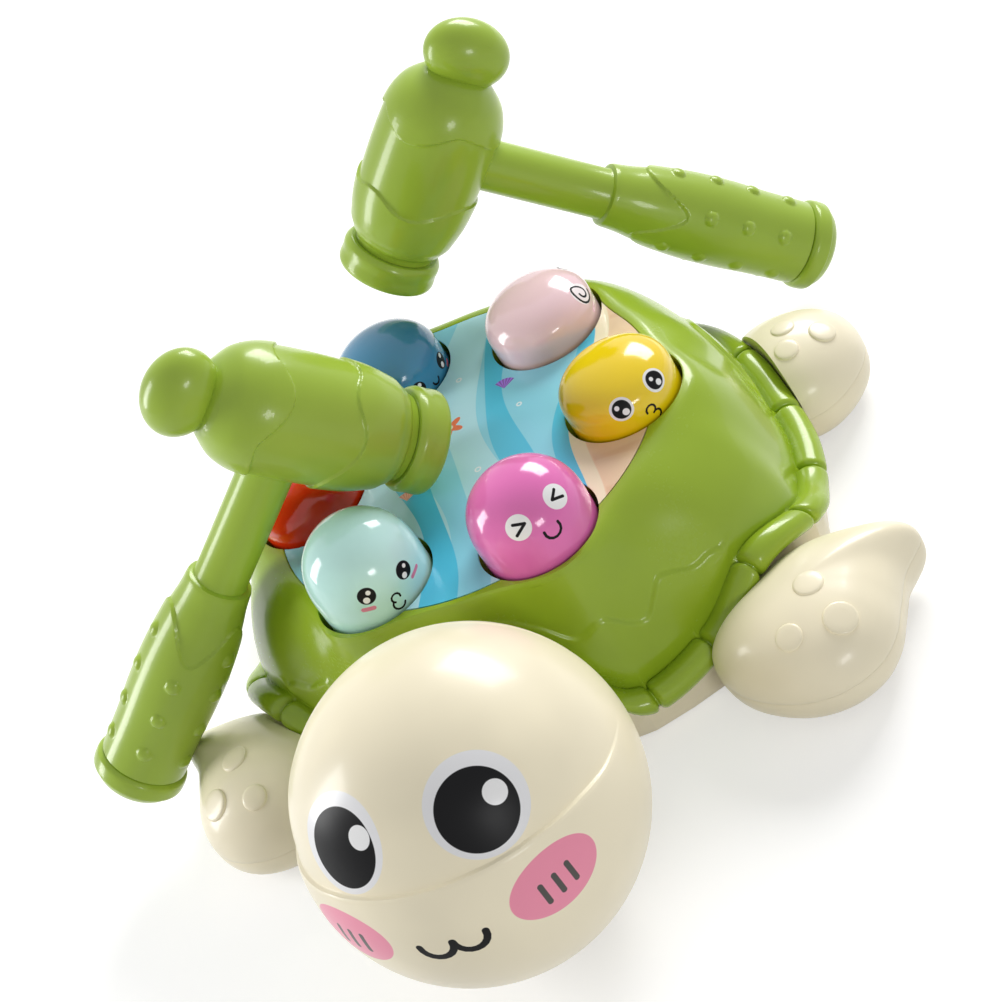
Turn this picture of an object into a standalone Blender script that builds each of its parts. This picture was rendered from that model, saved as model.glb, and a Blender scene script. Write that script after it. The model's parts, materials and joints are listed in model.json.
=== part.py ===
# Turtle pounding toy: six sprung heads in a turtle's shell, with two toy hammers.
# Frame: metres, +Z up, floor at z = 0, the turtle's head towards -Y.
# The origin is the point of the flat underside below the middle of the play panel.
import math

import bmesh
import bpy
from mathutils import Matrix, Vector

mm = 0.001

# Fits and common walls
gap = 0.3 * mm
overrun = 2.0 * mm
wall = 2.4 * mm
merge_distance = 0.05 * mm

# Play panel and the ring of holes
panel_height = 76.0 * mm
hole_radius = 21.0 * mm
hole_spacing = 16.0 * mm
ring_radius = 2 * hole_radius + hole_spacing
sheet_thickness = 0.6 * mm
sheet_points = 60
print_margin = 11.0 * mm
print_radius = ring_radius + print_margin
print_spread = 1.5 * mm
print_reach = 8.5 * mm
print_spread_start = 0.2
hole_count = 6
hole_segments = 24
deck_margin = 15.2 * mm
deck_radius = ring_radius + deck_margin
deck_shift = 1.3 * mm
deck_pad = 2.5 * mm
collar_wall = 1.8 * mm
collar_depth = 14.0 * mm

# Shell rim, seen from above: x and y as shares of the half width, drop as a share of the rim drop
shell_margin = 30.0 * mm
shell_half_width = ring_radius + hole_radius + shell_margin
rim_drop = 65.0 * mm
rim_shares = [
    (0.0, -0.734, 0.368), (0.212, -0.761, 0.56), (0.365, -0.757, 0.97), (0.633, -0.632, 0.909),
    (0.834, -0.482, 0.675), (0.978, -0.279, 0.794), (0.985, -0.105, 0.902), (0.967, 0.121, 0.911),
    (0.896, 0.344, 0.868), (0.798, 0.563, 0.822), (0.611, 0.823, 0.883), (0.33, 0.936, 0.877),
    (0.0, 0.963, 0.877),
]
rim_steps = 2
flank_start_angle = math.radians(22.0)
flank_end_angle = math.radians(75.0)
flank_shares = [0.0, 0.2, 0.44, 0.72, 1.0]
bead_radius = 4.2 * mm
bead_angles = [65.0, 10.0, -45.0]
rim_width = 8.2 * mm
rim_gap_width = 2.6 * mm
rim_gap_depth = 2.4 * mm
rim_gap_tilt = math.radians(45.0)
rim_gap_look_ahead = 0.1
rim_gap_places = [1.1, 2.18, 2.92, 3.82, 4.84, 6.36, 7.66, 9.0, 10.2, 11.2, 12.0]

# Lower case
case_inset = 4.4 * mm
case_taper = 2.6 * mm
case_edge = 3.0 * mm
case_edge_shares = [(0.0, 0.0), (0.7, 0.3), (1.0, 1.0)]

# Moles, their travel and springs
mole_clearance = 1.4 * mm
mole_rises = {
    "mint": 27.0 * mm, "magenta": 25.0 * mm, "red": 19.5 * mm,
    "yellow": 16.5 * mm, "blue": 20.0 * mm, "pink": 17.0 * mm,
}
mole_shoulder = 5.5 * mm
mole_dome_steps = 4
mole_dome_power = 2.25
mole_roof_share = (0.8, 0.62)
mole_wall = 2.0 * mm
mole_flange_reach = 1.3 * mm
mole_flange_thickness = 2.0 * mm
mole_segments = 14
spring_seat_radius = 7.5 * mm
spring_seat_drop = 12.0 * mm
stem_radius = 2.6 * mm
stem_drop = 25.0 * mm
spring_radius = 6.0 * mm
spring_wire_radius = 0.45 * mm
spring_turns = 4.5
spring_points_per_turn = 6

# Guide plate, circuit board and switches
guide_top = 42.5 * mm
guide_thickness = 2.5 * mm
guide_margin = 6.7 * mm
guide_radius = ring_radius + guide_margin
guide_tube_height = 5.5 * mm
guide_tube_wall = 1.2 * mm
guide_tube_clearance = 0.6 * mm
boss_radius = 4.0 * mm
boss_circle = ring_radius * math.cos(math.pi / hole_count)
board_drop = 9.8 * mm
board_thickness = 1.6 * mm
board_margin = 5.0 * mm
board_radius = ring_radius + board_margin
standoff_radius = 3.5 * mm
standoff_circle = 24.0 * mm
switch_size = 6.0 * mm
switch_height = 3.5 * mm
switch_button_radius = 1.75 * mm
switch_button_height = 1.1 * mm
chip_radius = 5.0 * mm
chip_height = 1.5 * mm
chip_shoulder_share = 0.8
small_segments = 8
round_segments = 10
plate_segments = 32

# Moulded pegs that hold the guide plate and the board, riveted over by heat
guide_low = guide_top - guide_thickness
board_low = guide_low - board_drop
board_top = board_low + board_thickness
peg_radius = 1.4 * mm
peg_proud = 1.5 * mm

# Screws
screw_radius = 1.4 * mm
screw_head_radius = 2.6 * mm
screw_head_height = 1.8 * mm
screw_hole_radius = screw_radius + gap
door_screw_radius = 1.1 * mm
door_screw_head_radius = 2.3 * mm
door_screw_head_height = 1.0 * mm

# Posts between the lower case and the shell
post_radius = 4.5 * mm
post_top = 26.0 * mm
post_screw_bite = 9.0 * mm
# Places on the lower case, as shares of the shell's half width
post_shares = [(0.55, 0.66), (0.57, -0.477)]
post_places = [(x * shell_half_width, y * shell_half_width) for x, y in post_shares]

# Battery compartment
cell_radius = 7.25 * mm
cell_length = 50.5 * mm
cell_pitch = 15.0 * mm
cell_count = 3
cell_tip_radius = 2.7 * mm
cell_tip_length = 1.2 * mm
contact_room = 2.6 * mm
contact_thickness = 0.4 * mm
contact_size = 11.0 * mm
bay_share = 0.514
bay_centre_y = bay_share * shell_half_width
bay_wall = 1.6 * mm
bay_side_play = 0.4 * mm
bay_roof_play = 0.9 * mm
door_ledge = 1.0 * mm
door_thickness = 2.4 * mm
door_tab = 9.0 * mm
bay_lug_width = 12.0 * mm
bay_lug_height = 9.0 * mm

# Speaker under its grille
speaker_share = -0.33
speaker_y = speaker_share * shell_half_width
speaker_radius = 18.0 * mm
speaker_height = 11.0 * mm
speaker_shares = [
    (0.0, 1.0), (0.5, 1.0), (0.5, 0.55), (0.8, 0.25), (1.0, 0.2), (1.0, 0.0),
    (0.85, 0.0), (0.8, 0.1), (0.0, 0.35),
]
grille_hole_radius = 1.7 * mm
grille_pitch = 6.0 * mm
grille_outer_share = 1.9

# Power switch in the underside
power_share = (0.495, 0.147)
power_x = power_share[0] * shell_half_width
power_y = power_share[1] * shell_half_width
power_travel = 4.0 * mm
power_knob_length = 4.0 * mm
power_knob_width = 3.2 * mm
power_knob_recess = 0.5 * mm
power_plate_length = 12.0 * mm
power_plate_width = 6.0 * mm
power_plate_thickness = 1.4 * mm
power_body_length = 22.0 * mm
power_body_width = 8.0 * mm
power_body_height = 5.0 * mm

# Wires inside
wire_radius = 0.9 * mm
wire_steps = 6

# Head
head_radius = 53.6 * mm
head_gap = 1.694 * mm
head_floor_gap = 2.6 * mm
head_y = rim_shares[0][1] * shell_half_width - head_radius - head_gap
head_z = head_radius + head_floor_gap
head_split_share = 0.61567
head_split = head_split_share * head_radius
head_segments = 28
head_rows = 10
head_inner_rows = 7
head_back_rows = 5
neck_drop = 45.0 * mm
neck_z = panel_height - neck_drop
neck_radius = 11.0 * mm
neck_segments = 16
neck_wall = 2.2 * mm
neck_shoulder = 3.0 * mm
neck_front_room = 2.2 * mm
neck_inner_reach = 8.0 * mm
retainer_width = 4.0 * mm
retainer_thickness = 3.0 * mm

# Flippers, seen from above: middles as shares of the shell's half width,
# outlines as shares of their length about their middle
seam_height = 16.0 * mm
flipper_floor_gap = 1.0 * mm
flipper_wall = 2.2 * mm
front_flipper_middle_share = (0.89, -0.6147)
front_flipper_middle = tuple(share * shell_half_width for share in front_flipper_middle_share)
front_flipper_length = 72.0 * mm
front_flipper_rise = 21.0 * mm
front_flipper_shares = [
    (-0.46, -0.10), (-0.36, -0.26), (-0.20, -0.37), (-0.03, -0.42), (0.14, -0.40),
    (0.28, -0.31), (0.36, -0.17), (0.395, 0.0), (0.43, 0.165), (0.515, 0.335),
    (0.46, 0.405), (0.32, 0.43), (0.17, 0.435), (0.02, 0.41), (-0.14, 0.33),
    (-0.32, 0.18), (-0.44, 0.04),
]
rear_flipper_middle_share = (0.89, 0.4954)
rear_flipper_middle = tuple(share * shell_half_width for share in rear_flipper_middle_share)
rear_flipper_length = 52.0 * mm
rear_flipper_rise = 20.0 * mm
rear_flipper_shares = [
    (-0.46, 0.16), (-0.44, -0.12), (-0.26, -0.36), (-0.02, -0.46), (0.2, -0.42),
    (0.38, -0.26), (0.49, -0.03), (0.48, 0.2), (0.36, 0.39), (0.16, 0.48),
    (-0.1, 0.48), (-0.32, 0.38),
]
flipper_rings = 3
flipper_last_ring_share = 0.83
flipper_round_power = 2.2
flipper_under_power = 3.2
flipper_peg_radius = 3.0 * mm
flipper_peg_length = 12.0 * mm
flipper_peg_height = 8.5 * mm

# Hammers
hammer_half_length = 49.8 * mm
hammer_body_radius = 21.8 * mm
hammer_neck_radius = 15.5 * mm
strike_radius = 17.6 * mm
strike_length = 13.4 * mm
strike_round = 2.0 * mm
spigot_length = 6.0 * mm
knob_half_sizes = (15.2 * mm, 10.8 * mm, 12.2 * mm)
knob_segments = 12
knob_rows = 7
hammer_wall = 2.0 * mm
hammer_segments = 18
hammer_top_share = 0.64
handle_length = 156.0 * mm
shaft_radius = 9.2 * mm
shaft_seat = 12.0 * mm
grip_start = 65.8 * mm
grip_radius = 15.3 * mm
handle_segments = 14
handle_bore_radius = 6.0 * mm
end_ring_radius = 16.3 * mm
end_ring_length = 12.0 * mm
end_spigot_length = 8.0 * mm
hammer_body_shares = [
    (-0.70, 0.775), (-0.60, 0.85), (-0.42, 0.945), (-0.18, 0.985), (0.1, 0.99),
    (0.3, 0.955), (0.44, 0.84), (0.54, 0.66), (0.60, 0.50),
]
hammer_hollow_shares = [(-0.70, 0.62), (-0.30, 0.85), (0.12, 0.85), (0.50, 0.50)]
end_cap_shares = [(0.88, 0.7), (0.58, 1.0)]
grip_shares = [
    (0.0, 0.60), (0.02, 0.76), (0.1, 0.80), (0.22, 0.90), (0.42, 0.99),
    (0.6, 1.0), (0.8, 0.96), (1.0, 0.95),
]
# Where each hammer's striking face lies, across the toy as shares of the ring's radius and up from the
# panel, and the heading, slope and roll of its handle in degrees
hammer_1_face_height = 11.96 * mm
hammer_2_face_height = 20.88 * mm
hammer_face_shares = {"hammer_1": (-0.10776, -0.09872), "hammer_2": (-0.44705, 1.4805)}
hammer_face_heights = {"hammer_1": hammer_1_face_height, "hammer_2": hammer_2_face_height}
hammer_angles = {"hammer_1": (198.1, -39.1, -3.4), "hammer_2": (13.5, -47.3, -1.4)}

shell_green = (0.30, 0.46, 0.06)
case_cream = (0.86, 0.79, 0.62)

for old_object in list(bpy.data.objects):
    bpy.data.objects.remove(old_object, do_unlink=True)

parts = bpy.data.collections.new("turtle_pounding_toy")
cutters = bpy.data.collections.new("cutters")
bpy.context.scene.collection.children.link(parts)
bpy.context.scene.collection.children.link(cutters)


# Making objects

def material(name, colour, roughness=0.35, metallic=0.0):
    made = bpy.data.materials.new(name)
    made.use_nodes = True
    shader = made.node_tree.nodes["Principled BSDF"]
    shader.inputs["Base Color"].default_value = (*colour, 1.0)
    shader.inputs["Roughness"].default_value = roughness
    shader.inputs["Metallic"].default_value = metallic
    made.diffuse_color = (*colour, 1.0)
    return made


def add_part(name, mesh, finish):
    piece = bpy.data.objects.new(name, mesh)
    mesh.materials.clear()
    mesh.materials.append(finish)
    mesh.shade_smooth()
    mesh.set_sharp_from_angle(angle=math.radians(40.0))
    parts.objects.link(piece)
    return piece


def add_cutter(name, mesh):
    cutter = bpy.data.objects.new(name, mesh)
    cutter.hide_render = True
    cutter.display_type = "WIRE"
    cutters.objects.link(cutter)
    return cutter


def mesh_from(work, name):
    mesh = bpy.data.meshes.new(name)
    bmesh.ops.recalc_face_normals(work, faces=work.faces)
    work.to_mesh(mesh)
    work.free()
    return mesh


def boolean(piece, operation, other):
    step = piece.modifiers.new(operation.lower(), "BOOLEAN")
    step.operation = operation
    step.solver = "EXACT"
    step.object = other
    return step


def evaluated_mesh(piece):
    bpy.context.view_layer.update()
    seen = piece.evaluated_get(bpy.context.evaluated_depsgraph_get())
    return bpy.data.meshes.new_from_object(seen)


def box_mesh(name, low, high):
    work = bmesh.new()
    bmesh.ops.create_cube(work, size=1.0)
    size = [high[i] - low[i] for i in range(3)]
    middle = [(high[i] + low[i]) / 2 for i in range(3)]
    bmesh.ops.scale(work, vec=size, verts=work.verts)
    bmesh.ops.translate(work, vec=middle, verts=work.verts)
    return mesh_from(work, name)


def rod_mesh(name, radius, start, end, segments=round_segments):
    start = Vector(start)
    end = Vector(end)
    along = end - start
    work = bmesh.new()
    bmesh.ops.create_cone(work, cap_ends=True, segments=segments, radius1=radius, radius2=radius,
                          depth=along.length)
    turn = Vector((0, 0, 1)).rotation_difference(along).to_matrix().to_4x4()
    bmesh.ops.transform(work, matrix=Matrix.Translation((start + end) / 2) @ turn, verts=work.verts)
    return mesh_from(work, name)


def upright_rod(name, radius, at, low, high, segments=round_segments):
    return rod_mesh(name, radius, at + Vector((0, 0, low)), at + Vector((0, 0, high)), segments)


def turned_mesh(name, profile, segments, closed=False):
    # The profile is (radius, height) points that run down the outer side
    work = bmesh.new()
    row = [work.verts.new((radius, 0.0, height)) for radius, height in profile]
    for first, second in zip(row, row[1:]):
        work.edges.new((first, second))
    if closed:
        work.edges.new((row[-1], row[0]))
    mesh = bpy.data.meshes.new(name)
    work.to_mesh(mesh)
    work.free()
    blank = bpy.data.objects.new(name, mesh)
    cutters.objects.link(blank)
    screw = blank.modifiers.new("turn", "SCREW")
    screw.steps = segments
    screw.render_steps = segments
    screw.use_merge_vertices = True
    screw.merge_threshold = merge_distance
    made = evaluated_mesh(blank)
    bpy.data.objects.remove(blank, do_unlink=True)
    made.name = name
    return made


def lofted_mesh(name, rings, start_point=None, end_point=None, closed_tube=False):
    # Rings of equal count, joined side by side, with a point or a flat face at each end
    work = bmesh.new()
    rows = [[work.verts.new(point) for point in ring] for ring in rings]
    pairs = list(zip(rows, rows[1:]))
    if closed_tube:
        pairs.append((rows[-1], rows[0]))
    for near, far in pairs:
        for i in range(len(near)):
            j = (i + 1) % len(near)
            work.faces.new((near[i], near[j], far[j], far[i]))
    for row, point in ((rows[0], start_point), (rows[-1], end_point)):
        if closed_tube:
            continue
        if point is None:
            work.faces.new(row)
            continue
        tip = work.verts.new(point)
        for i in range(len(row)):
            work.faces.new((row[i], row[(i + 1) % len(row)], tip))
    return mesh_from(work, name)


def gathered_mesh(name, meshes):
    work = bmesh.new()
    for mesh in meshes:
        work.from_mesh(mesh)
    made = bpy.data.meshes.new(name)
    work.to_mesh(made)
    work.free()
    return made


def mirrored_mesh(mesh, name):
    work = bmesh.new()
    work.from_mesh(mesh)
    bmesh.ops.scale(work, vec=(-1, 1, 1), verts=work.verts)
    return mesh_from(work, name)


# The shell's outline

def rim_controls():
    half = [Vector((x, y, 0.0)) * shell_half_width - Vector((0, 0, drop * rim_drop))
            for x, y, drop in rim_shares]
    back = [Vector((-point.x, point.y, point.z)) for point in reversed(half[1:-1])]
    return half + back


rim_points = rim_controls()


def rim_at(place):
    # A smooth closed curve through the rim's points, place counted in points
    count = len(rim_points)
    base = math.floor(place)
    t = place - base
    a, b, c, d = (rim_points[(base + k) % count] for k in (-1, 0, 1, 2))
    return 0.5 * ((2 * b) + (c - a) * t + (2 * a - 5 * b + 4 * c - d) * t * t
                  + (3 * b - a - 3 * c + d) * t ** 3)


def scallop(angle):
    # One beside each hole, nought between the holes
    return ((1.0 + math.cos(hole_count * angle)) / 2.0) ** 2


def deck_edge(angle):
    valley = deck_radius + deck_shift * math.sin(angle)
    return valley + (ring_radius + hole_radius + deck_pad - valley) * scallop(angle)


def print_edge(angle):
    behind = min(max(math.sin(angle) + print_spread_start, 0.0), 1.0)
    return print_radius + behind * (print_spread + (print_reach - print_spread) * scallop(angle))


def outline_places():
    count = len(rim_points) * rim_steps
    return [k / rim_steps for k in range(count)]


def polar(angle, radius, height):
    return Vector((radius * math.cos(angle), radius * math.sin(angle), height))


def flank_curve(share):
    angle = flank_start_angle + (flank_end_angle - flank_start_angle) * share
    across = math.sin(flank_end_angle) - math.sin(flank_start_angle)
    down = math.cos(flank_start_angle) - math.cos(flank_end_angle)
    return ((math.sin(angle) - math.sin(flank_start_angle)) / across,
            (math.cos(flank_start_angle) - math.cos(angle)) / down)


def shell_section(place):
    # From the recess under the print, over the flank and the rim's bead, to the deck's underside
    rim = rim_at(place)
    angle = math.atan2(rim.y, rim.x)
    reach = math.hypot(rim.x, rim.y)
    base = panel_height + rim.z
    sunk = panel_height - sheet_thickness - gap
    deck = deck_edge(angle)
    section = [(print_edge(angle) + gap, sunk), (print_edge(angle) + gap, panel_height)]
    flank_reach = reach - bead_radius - gap
    flank_foot = base + 2 * bead_radius
    for share in flank_shares:
        out, down = flank_curve(share)
        drop = (panel_height - flank_foot) * down
        section.append((deck + (flank_reach - deck) * out, panel_height - drop))
    for degrees in bead_angles:
        turn = math.radians(degrees)
        section.append((reach - bead_radius + bead_radius * math.cos(turn),
                        base + bead_radius + bead_radius * math.sin(turn)))
    section.append((reach - bead_radius, base))
    section.append((reach - rim_width, base))
    under = sunk - wall
    top = deck - wall
    foot = reach - rim_width
    for share in reversed(flank_shares[:-1]):
        out, down = flank_curve(share)
        section.append((top + (foot - top) * out, under - (under - flank_foot) * down))
    return [polar(angle, radius, height) for radius, height in section]


def case_section(place):
    # From the foot of the outer wall up over the rim and down the inside
    rim = rim_at(place)
    angle = math.atan2(rim.y, rim.x)
    reach = math.hypot(rim.x, rim.y) - case_inset
    foot = reach - case_taper
    top = panel_height + rim.z - gap
    section = [(foot - case_edge * (1 - out), case_edge * up) for out, up in case_edge_shares]
    section += [(reach, top), (reach - wall, top), (foot - wall, wall)]
    return [polar(angle, radius, height) for radius, height in section]


# Finishes

green_plastic = material("green plastic", shell_green, 0.28)
cream_plastic = material("cream plastic", case_cream, 0.33)
inner_plastic = material("inner white plastic", (0.75, 0.75, 0.72), 0.45)
steel = material("zinc plated steel", (0.62, 0.62, 0.60), 0.35, 0.9)
mole_colours = {
    "mint": (0.55, 0.86, 0.76), "magenta": (0.85, 0.25, 0.60), "red": (0.80, 0.09, 0.03),
    "yellow": (0.92, 0.74, 0.03), "blue": (0.10, 0.33, 0.55), "pink": (0.86, 0.66, 0.69),
}
mole_angles = {"mint": 240.0, "magenta": 300.0, "red": 180.0, "yellow": 0.0, "blue": 120.0, "pink": 60.0}


def mole_place(colour):
    angle = math.radians(mole_angles[colour])
    return Vector((ring_radius * math.cos(angle), ring_radius * math.sin(angle), 0.0))


def boss_places():
    return [polar(2 * math.pi * (k + 0.5) / hole_count, boss_circle, 0.0) for k in range(hole_count)]


def standoff_places():
    return [polar(math.pi / 2 * (k + 0.5), standoff_circle, 0.0) for k in range(4)]


def both_sides(places):
    return [Vector((side * x, y, 0.0)) for x, y in places for side in (1, -1)]


# Upper shell

def make_upper_shell():
    sections = [shell_section(place) for place in outline_places()]
    rings = [list(ring) for ring in zip(*sections)]
    deck_low = panel_height - sheet_thickness - gap - wall / 2
    shell = add_part("upper_shell", lofted_mesh("upper_shell", rings), green_plastic)

    joined = []
    for colour in mole_angles:
        joined.append(upright_rod("collar", hole_radius + collar_wall, mole_place(colour),
                                  panel_height - collar_depth, deck_low, hole_segments))
    boss_foot = guide_top + gap
    pegs = []
    for at in boss_places():
        joined.append(upright_rod("boss", boss_radius, at, boss_foot, deck_low))
        pegs.append(upright_rod("peg", peg_radius, at, guide_low - peg_proud, boss_foot + overrun,
                                small_segments))
    boolean(shell, "UNION", add_cutter("shell_collars", gathered_mesh("shell_collars", joined)))
    boolean(shell, "UNION", add_cutter("shell_pegs", gathered_mesh("shell_pegs", pegs)))

    # Posts for the case's screws end inside the shell's skin
    inside = []
    for section in sections:
        skin = section[2:2 + len(flank_shares)]
        angle = math.atan2(skin[0].y, skin[0].x)
        inside.append([polar(angle, math.hypot(p.x, p.y) - wall / 2, p.z - wall / 2) for p in skin])
    skin_rings = [list(ring) for ring in zip(*inside)]
    low_ring = [Vector((p.x, p.y, 0.0)) for p in skin_rings[-1]]
    limit = add_cutter("shell_inside", lofted_mesh("shell_inside", skin_rings + [low_ring]))
    posts = [upright_rod("post", post_radius, at, post_top + gap, panel_height)
             for at in both_sides(post_places)]
    upper_posts = add_cutter("upper_posts", gathered_mesh("upper_posts", posts))
    boolean(upper_posts, "INTERSECT", limit)
    boolean(shell, "UNION", upper_posts)

    holes = []
    hole_foot = panel_height - collar_depth - overrun
    for colour in mole_angles:
        holes.append(upright_rod("hole", hole_radius, mole_place(colour), hole_foot, panel_height + overrun,
                                 hole_segments))
    pilot_top = post_top + post_screw_bite
    for at in both_sides(post_places):
        holes.append(upright_rod("pilot", screw_hole_radius, at, post_top - overrun, pilot_top,
                                 small_segments))
    boolean(shell, "DIFFERENCE", add_cutter("shell_holes", gathered_mesh("shell_holes", holes)))
    boolean(shell, "DIFFERENCE", add_cutter("rim_gaps", rim_gap_mesh()))


def rim_gap_mesh():
    # Short slots across the bead, which split it into tube-like scutes
    last = len(rim_shares) - 1
    mirrored = [len(rim_points) - place for place in rim_gap_places if place < last]
    slots = []
    for place in rim_gap_places + mirrored:
        rim = rim_at(place)
        ahead = rim_at(place + rim_gap_look_ahead)
        tangent = Vector((ahead.x - rim.x, ahead.y - rim.y, 0.0)).normalized()
        outward = Vector((tangent.y, -tangent.x, 0.0))
        middle = Vector((rim.x, rim.y, panel_height + rim.z + bead_radius))
        middle = middle - outward * bead_radius
        slot_low = (-rim_gap_width / 2, bead_radius - rim_gap_depth, -2 * bead_radius)
        slot_high = (rim_gap_width / 2, 2 * bead_radius, 2 * bead_radius)
        lean = Matrix((-tangent, outward, Vector((0, 0, 1)))).transposed().to_4x4()
        tilt = Matrix.Rotation(rim_gap_tilt, 4, "X")
        slot = box_mesh("slot", slot_low, slot_high)
        slot.transform(Matrix.Translation(middle) @ lean @ tilt)
        slots.append(slot)
    return gathered_mesh("rim_gaps", slots)


# Printed play sheet

def make_play_sheet():
    low = panel_height - sheet_thickness
    angles = [2 * math.pi * k / sheet_points for k in range(sheet_points)]
    rings = [[polar(a, print_edge(a), height) for a in angles] for height in (low, panel_height)]
    paper = material("printed sheet", (0.35, 0.75, 0.88), 0.35)
    sheet = add_part("play_sheet", lofted_mesh("play_sheet", rings), paper)
    holes = [upright_rod("hole", hole_radius, mole_place(colour), low - overrun, panel_height + overrun,
                         hole_segments) for colour in mole_angles]
    boolean(sheet, "DIFFERENCE", add_cutter("sheet_holes", gathered_mesh("sheet_holes", holes)))


# Moles and their springs

def mole_profile(rise):
    # Heights from the panel, down the outside and back up the hollow to the spring's seat and the stem
    radius = hole_radius - mole_clearance
    flange_top = -collar_depth - gap
    flange_low = flange_top - mole_flange_thickness
    dome = []
    for k in range(mole_dome_steps + 1):
        turn = math.pi / 2 * k / mole_dome_steps
        out = math.sin(turn) ** (2 / mole_dome_power)
        up = math.cos(turn) ** (2 / mole_dome_power)
        dome.append((radius * out, mole_shoulder + (rise - mole_shoulder) * up))
    inner = radius - mole_wall
    roof = rise - mole_wall
    roof_out, roof_up = mole_roof_share
    return dome + [
        (radius, flange_top), (hole_radius + mole_flange_reach, flange_top),
        (hole_radius + mole_flange_reach, flange_low), (inner, flange_low), (inner, mole_shoulder),
        (roof_out * inner, mole_shoulder + roof_up * (roof - mole_shoulder)),
        (spring_seat_radius, roof - mole_wall / 2), (spring_seat_radius, -spring_seat_drop),
        (stem_radius, -spring_seat_drop), (stem_radius, -stem_drop), (0.0, -stem_drop),
    ]


def make_moles():
    for colour, tint in mole_colours.items():
        cap = turned_mesh("mole_cap", mole_profile(mole_rises[colour]), mole_segments)
        piece = add_part(colour + "_mole", cap, material(colour + " plastic", tint, 0.2))
        piece.location = mole_place(colour) + Vector((0, 0, panel_height))


def make_springs():
    low = guide_top + gap + spring_wire_radius
    high = panel_height - spring_seat_drop - gap - spring_wire_radius
    count = int(spring_turns * spring_points_per_turn)
    for colour in mole_angles:
        curve = bpy.data.curves.new(colour + "_spring", "CURVE")
        curve.dimensions = "3D"
        curve.bevel_depth = spring_wire_radius
        curve.bevel_resolution = 0
        curve.use_fill_caps = True
        coil = curve.splines.new("POLY")
        coil.points.add(count)
        for k, point in enumerate(coil.points):
            turn = 2 * math.pi * k / spring_points_per_turn
            height = low + (high - low) * k / count
            point.co = (spring_radius * math.cos(turn), spring_radius * math.sin(turn), height, 1.0)
        curve.materials.append(steel)
        spring = bpy.data.objects.new(colour + "_spring", curve)
        spring.location = mole_place(colour)
        parts.objects.link(spring)


# Guide plate and circuit board

def make_guide_plate():
    disc = rod_mesh("guide_plate", guide_radius, (0, 0, guide_low), (0, 0, guide_top), plate_segments)
    plate = add_part("guide_plate", disc, inner_plastic)
    bore = stem_radius + guide_tube_clearance
    tube_top = guide_top + guide_tube_height
    foot = board_top + gap
    joined = []
    pegs = []
    holes = []
    for colour in mole_angles:
        at = mole_place(colour)
        joined.append(upright_rod("tube", bore + guide_tube_wall, at, guide_low + gap, tube_top))
        holes.append(upright_rod("bore", bore, at, guide_low - overrun, tube_top + overrun))
    for at in standoff_places():
        joined.append(upright_rod("standoff", standoff_radius, at, foot, guide_top - gap))
        pegs.append(upright_rod("peg", peg_radius, at, board_low - peg_proud, foot + overrun, small_segments))
    for at in boss_places():
        holes.append(upright_rod("peg_hole", peg_radius + gap, at, guide_low - overrun, guide_top + overrun,
                                 small_segments))
    boolean(plate, "UNION", add_cutter("guide_tubes", gathered_mesh("guide_tubes", joined)))
    boolean(plate, "UNION", add_cutter("guide_pegs", gathered_mesh("guide_pegs", pegs)))
    boolean(plate, "DIFFERENCE", add_cutter("guide_holes", gathered_mesh("guide_holes", holes)))


def switch_mesh():
    half = switch_size / 2
    body = bpy.data.objects.new("switch", box_mesh("body", (-half, -half, 0), (half, half, switch_height)))
    cutters.objects.link(body)
    button = add_cutter("button", rod_mesh("button", switch_button_radius, (0, 0, switch_height / 2),
                                           (0, 0, switch_height + switch_button_height), small_segments))
    boolean(body, "UNION", button)
    made = evaluated_mesh(body)
    bpy.data.objects.remove(body, do_unlink=True)
    bpy.data.objects.remove(button, do_unlink=True)
    return made


def make_board():
    green_board = material("green circuit board", (0.05, 0.30, 0.12), 0.5)
    disc = rod_mesh("circuit_board", board_radius, (0, 0, board_low), (0, 0, board_top), plate_segments)
    board = add_part("circuit_board", disc, green_board)
    holes = []
    for at in standoff_places():
        holes.append(upright_rod("hole", peg_radius + gap, at, board_low - overrun, board_top + overrun,
                                 small_segments))
    boolean(board, "DIFFERENCE", add_cutter("board_holes", gathered_mesh("board_holes", holes)))

    seat = Vector((0, 0, board_top + gap))
    black = material("black switch", (0.03, 0.03, 0.03), 0.4)
    one = switch_mesh()
    for colour in mole_angles:
        switch = add_part(colour + "_switch", one.copy(), black)
        switch.location = mole_place(colour) + seat
    profile = [(0, chip_height), (chip_shoulder_share * chip_radius, chip_shoulder_share * chip_height),
               (chip_radius, 0), (0, 0)]
    resin = material("black resin", (0.02, 0.02, 0.02), 0.25)
    chip = add_part("sound_chip", turned_mesh("sound_chip", profile, round_segments), resin)
    chip.location = seat


def screw_mesh(length, radius, head_radius, head_height):
    # Head downwards at z = 0, shaft upwards
    profile = [(0, head_height + length), (radius, head_height + length), (radius, head_height),
               (head_radius, head_height), (head_radius, 0), (0, 0)]
    return turned_mesh("screw", profile, small_segments)


def make_case_screws():
    length = post_top + post_screw_bite - wall - screw_head_height - 2 * gap
    for k, at in enumerate(both_sides(post_places)):
        mesh = screw_mesh(length, screw_radius, screw_head_radius, screw_head_height)
        screw = add_part("case_screw_%d" % (k + 1), mesh, steel)
        screw.location = at + Vector((0, 0, wall + gap))


# Lower case

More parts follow.
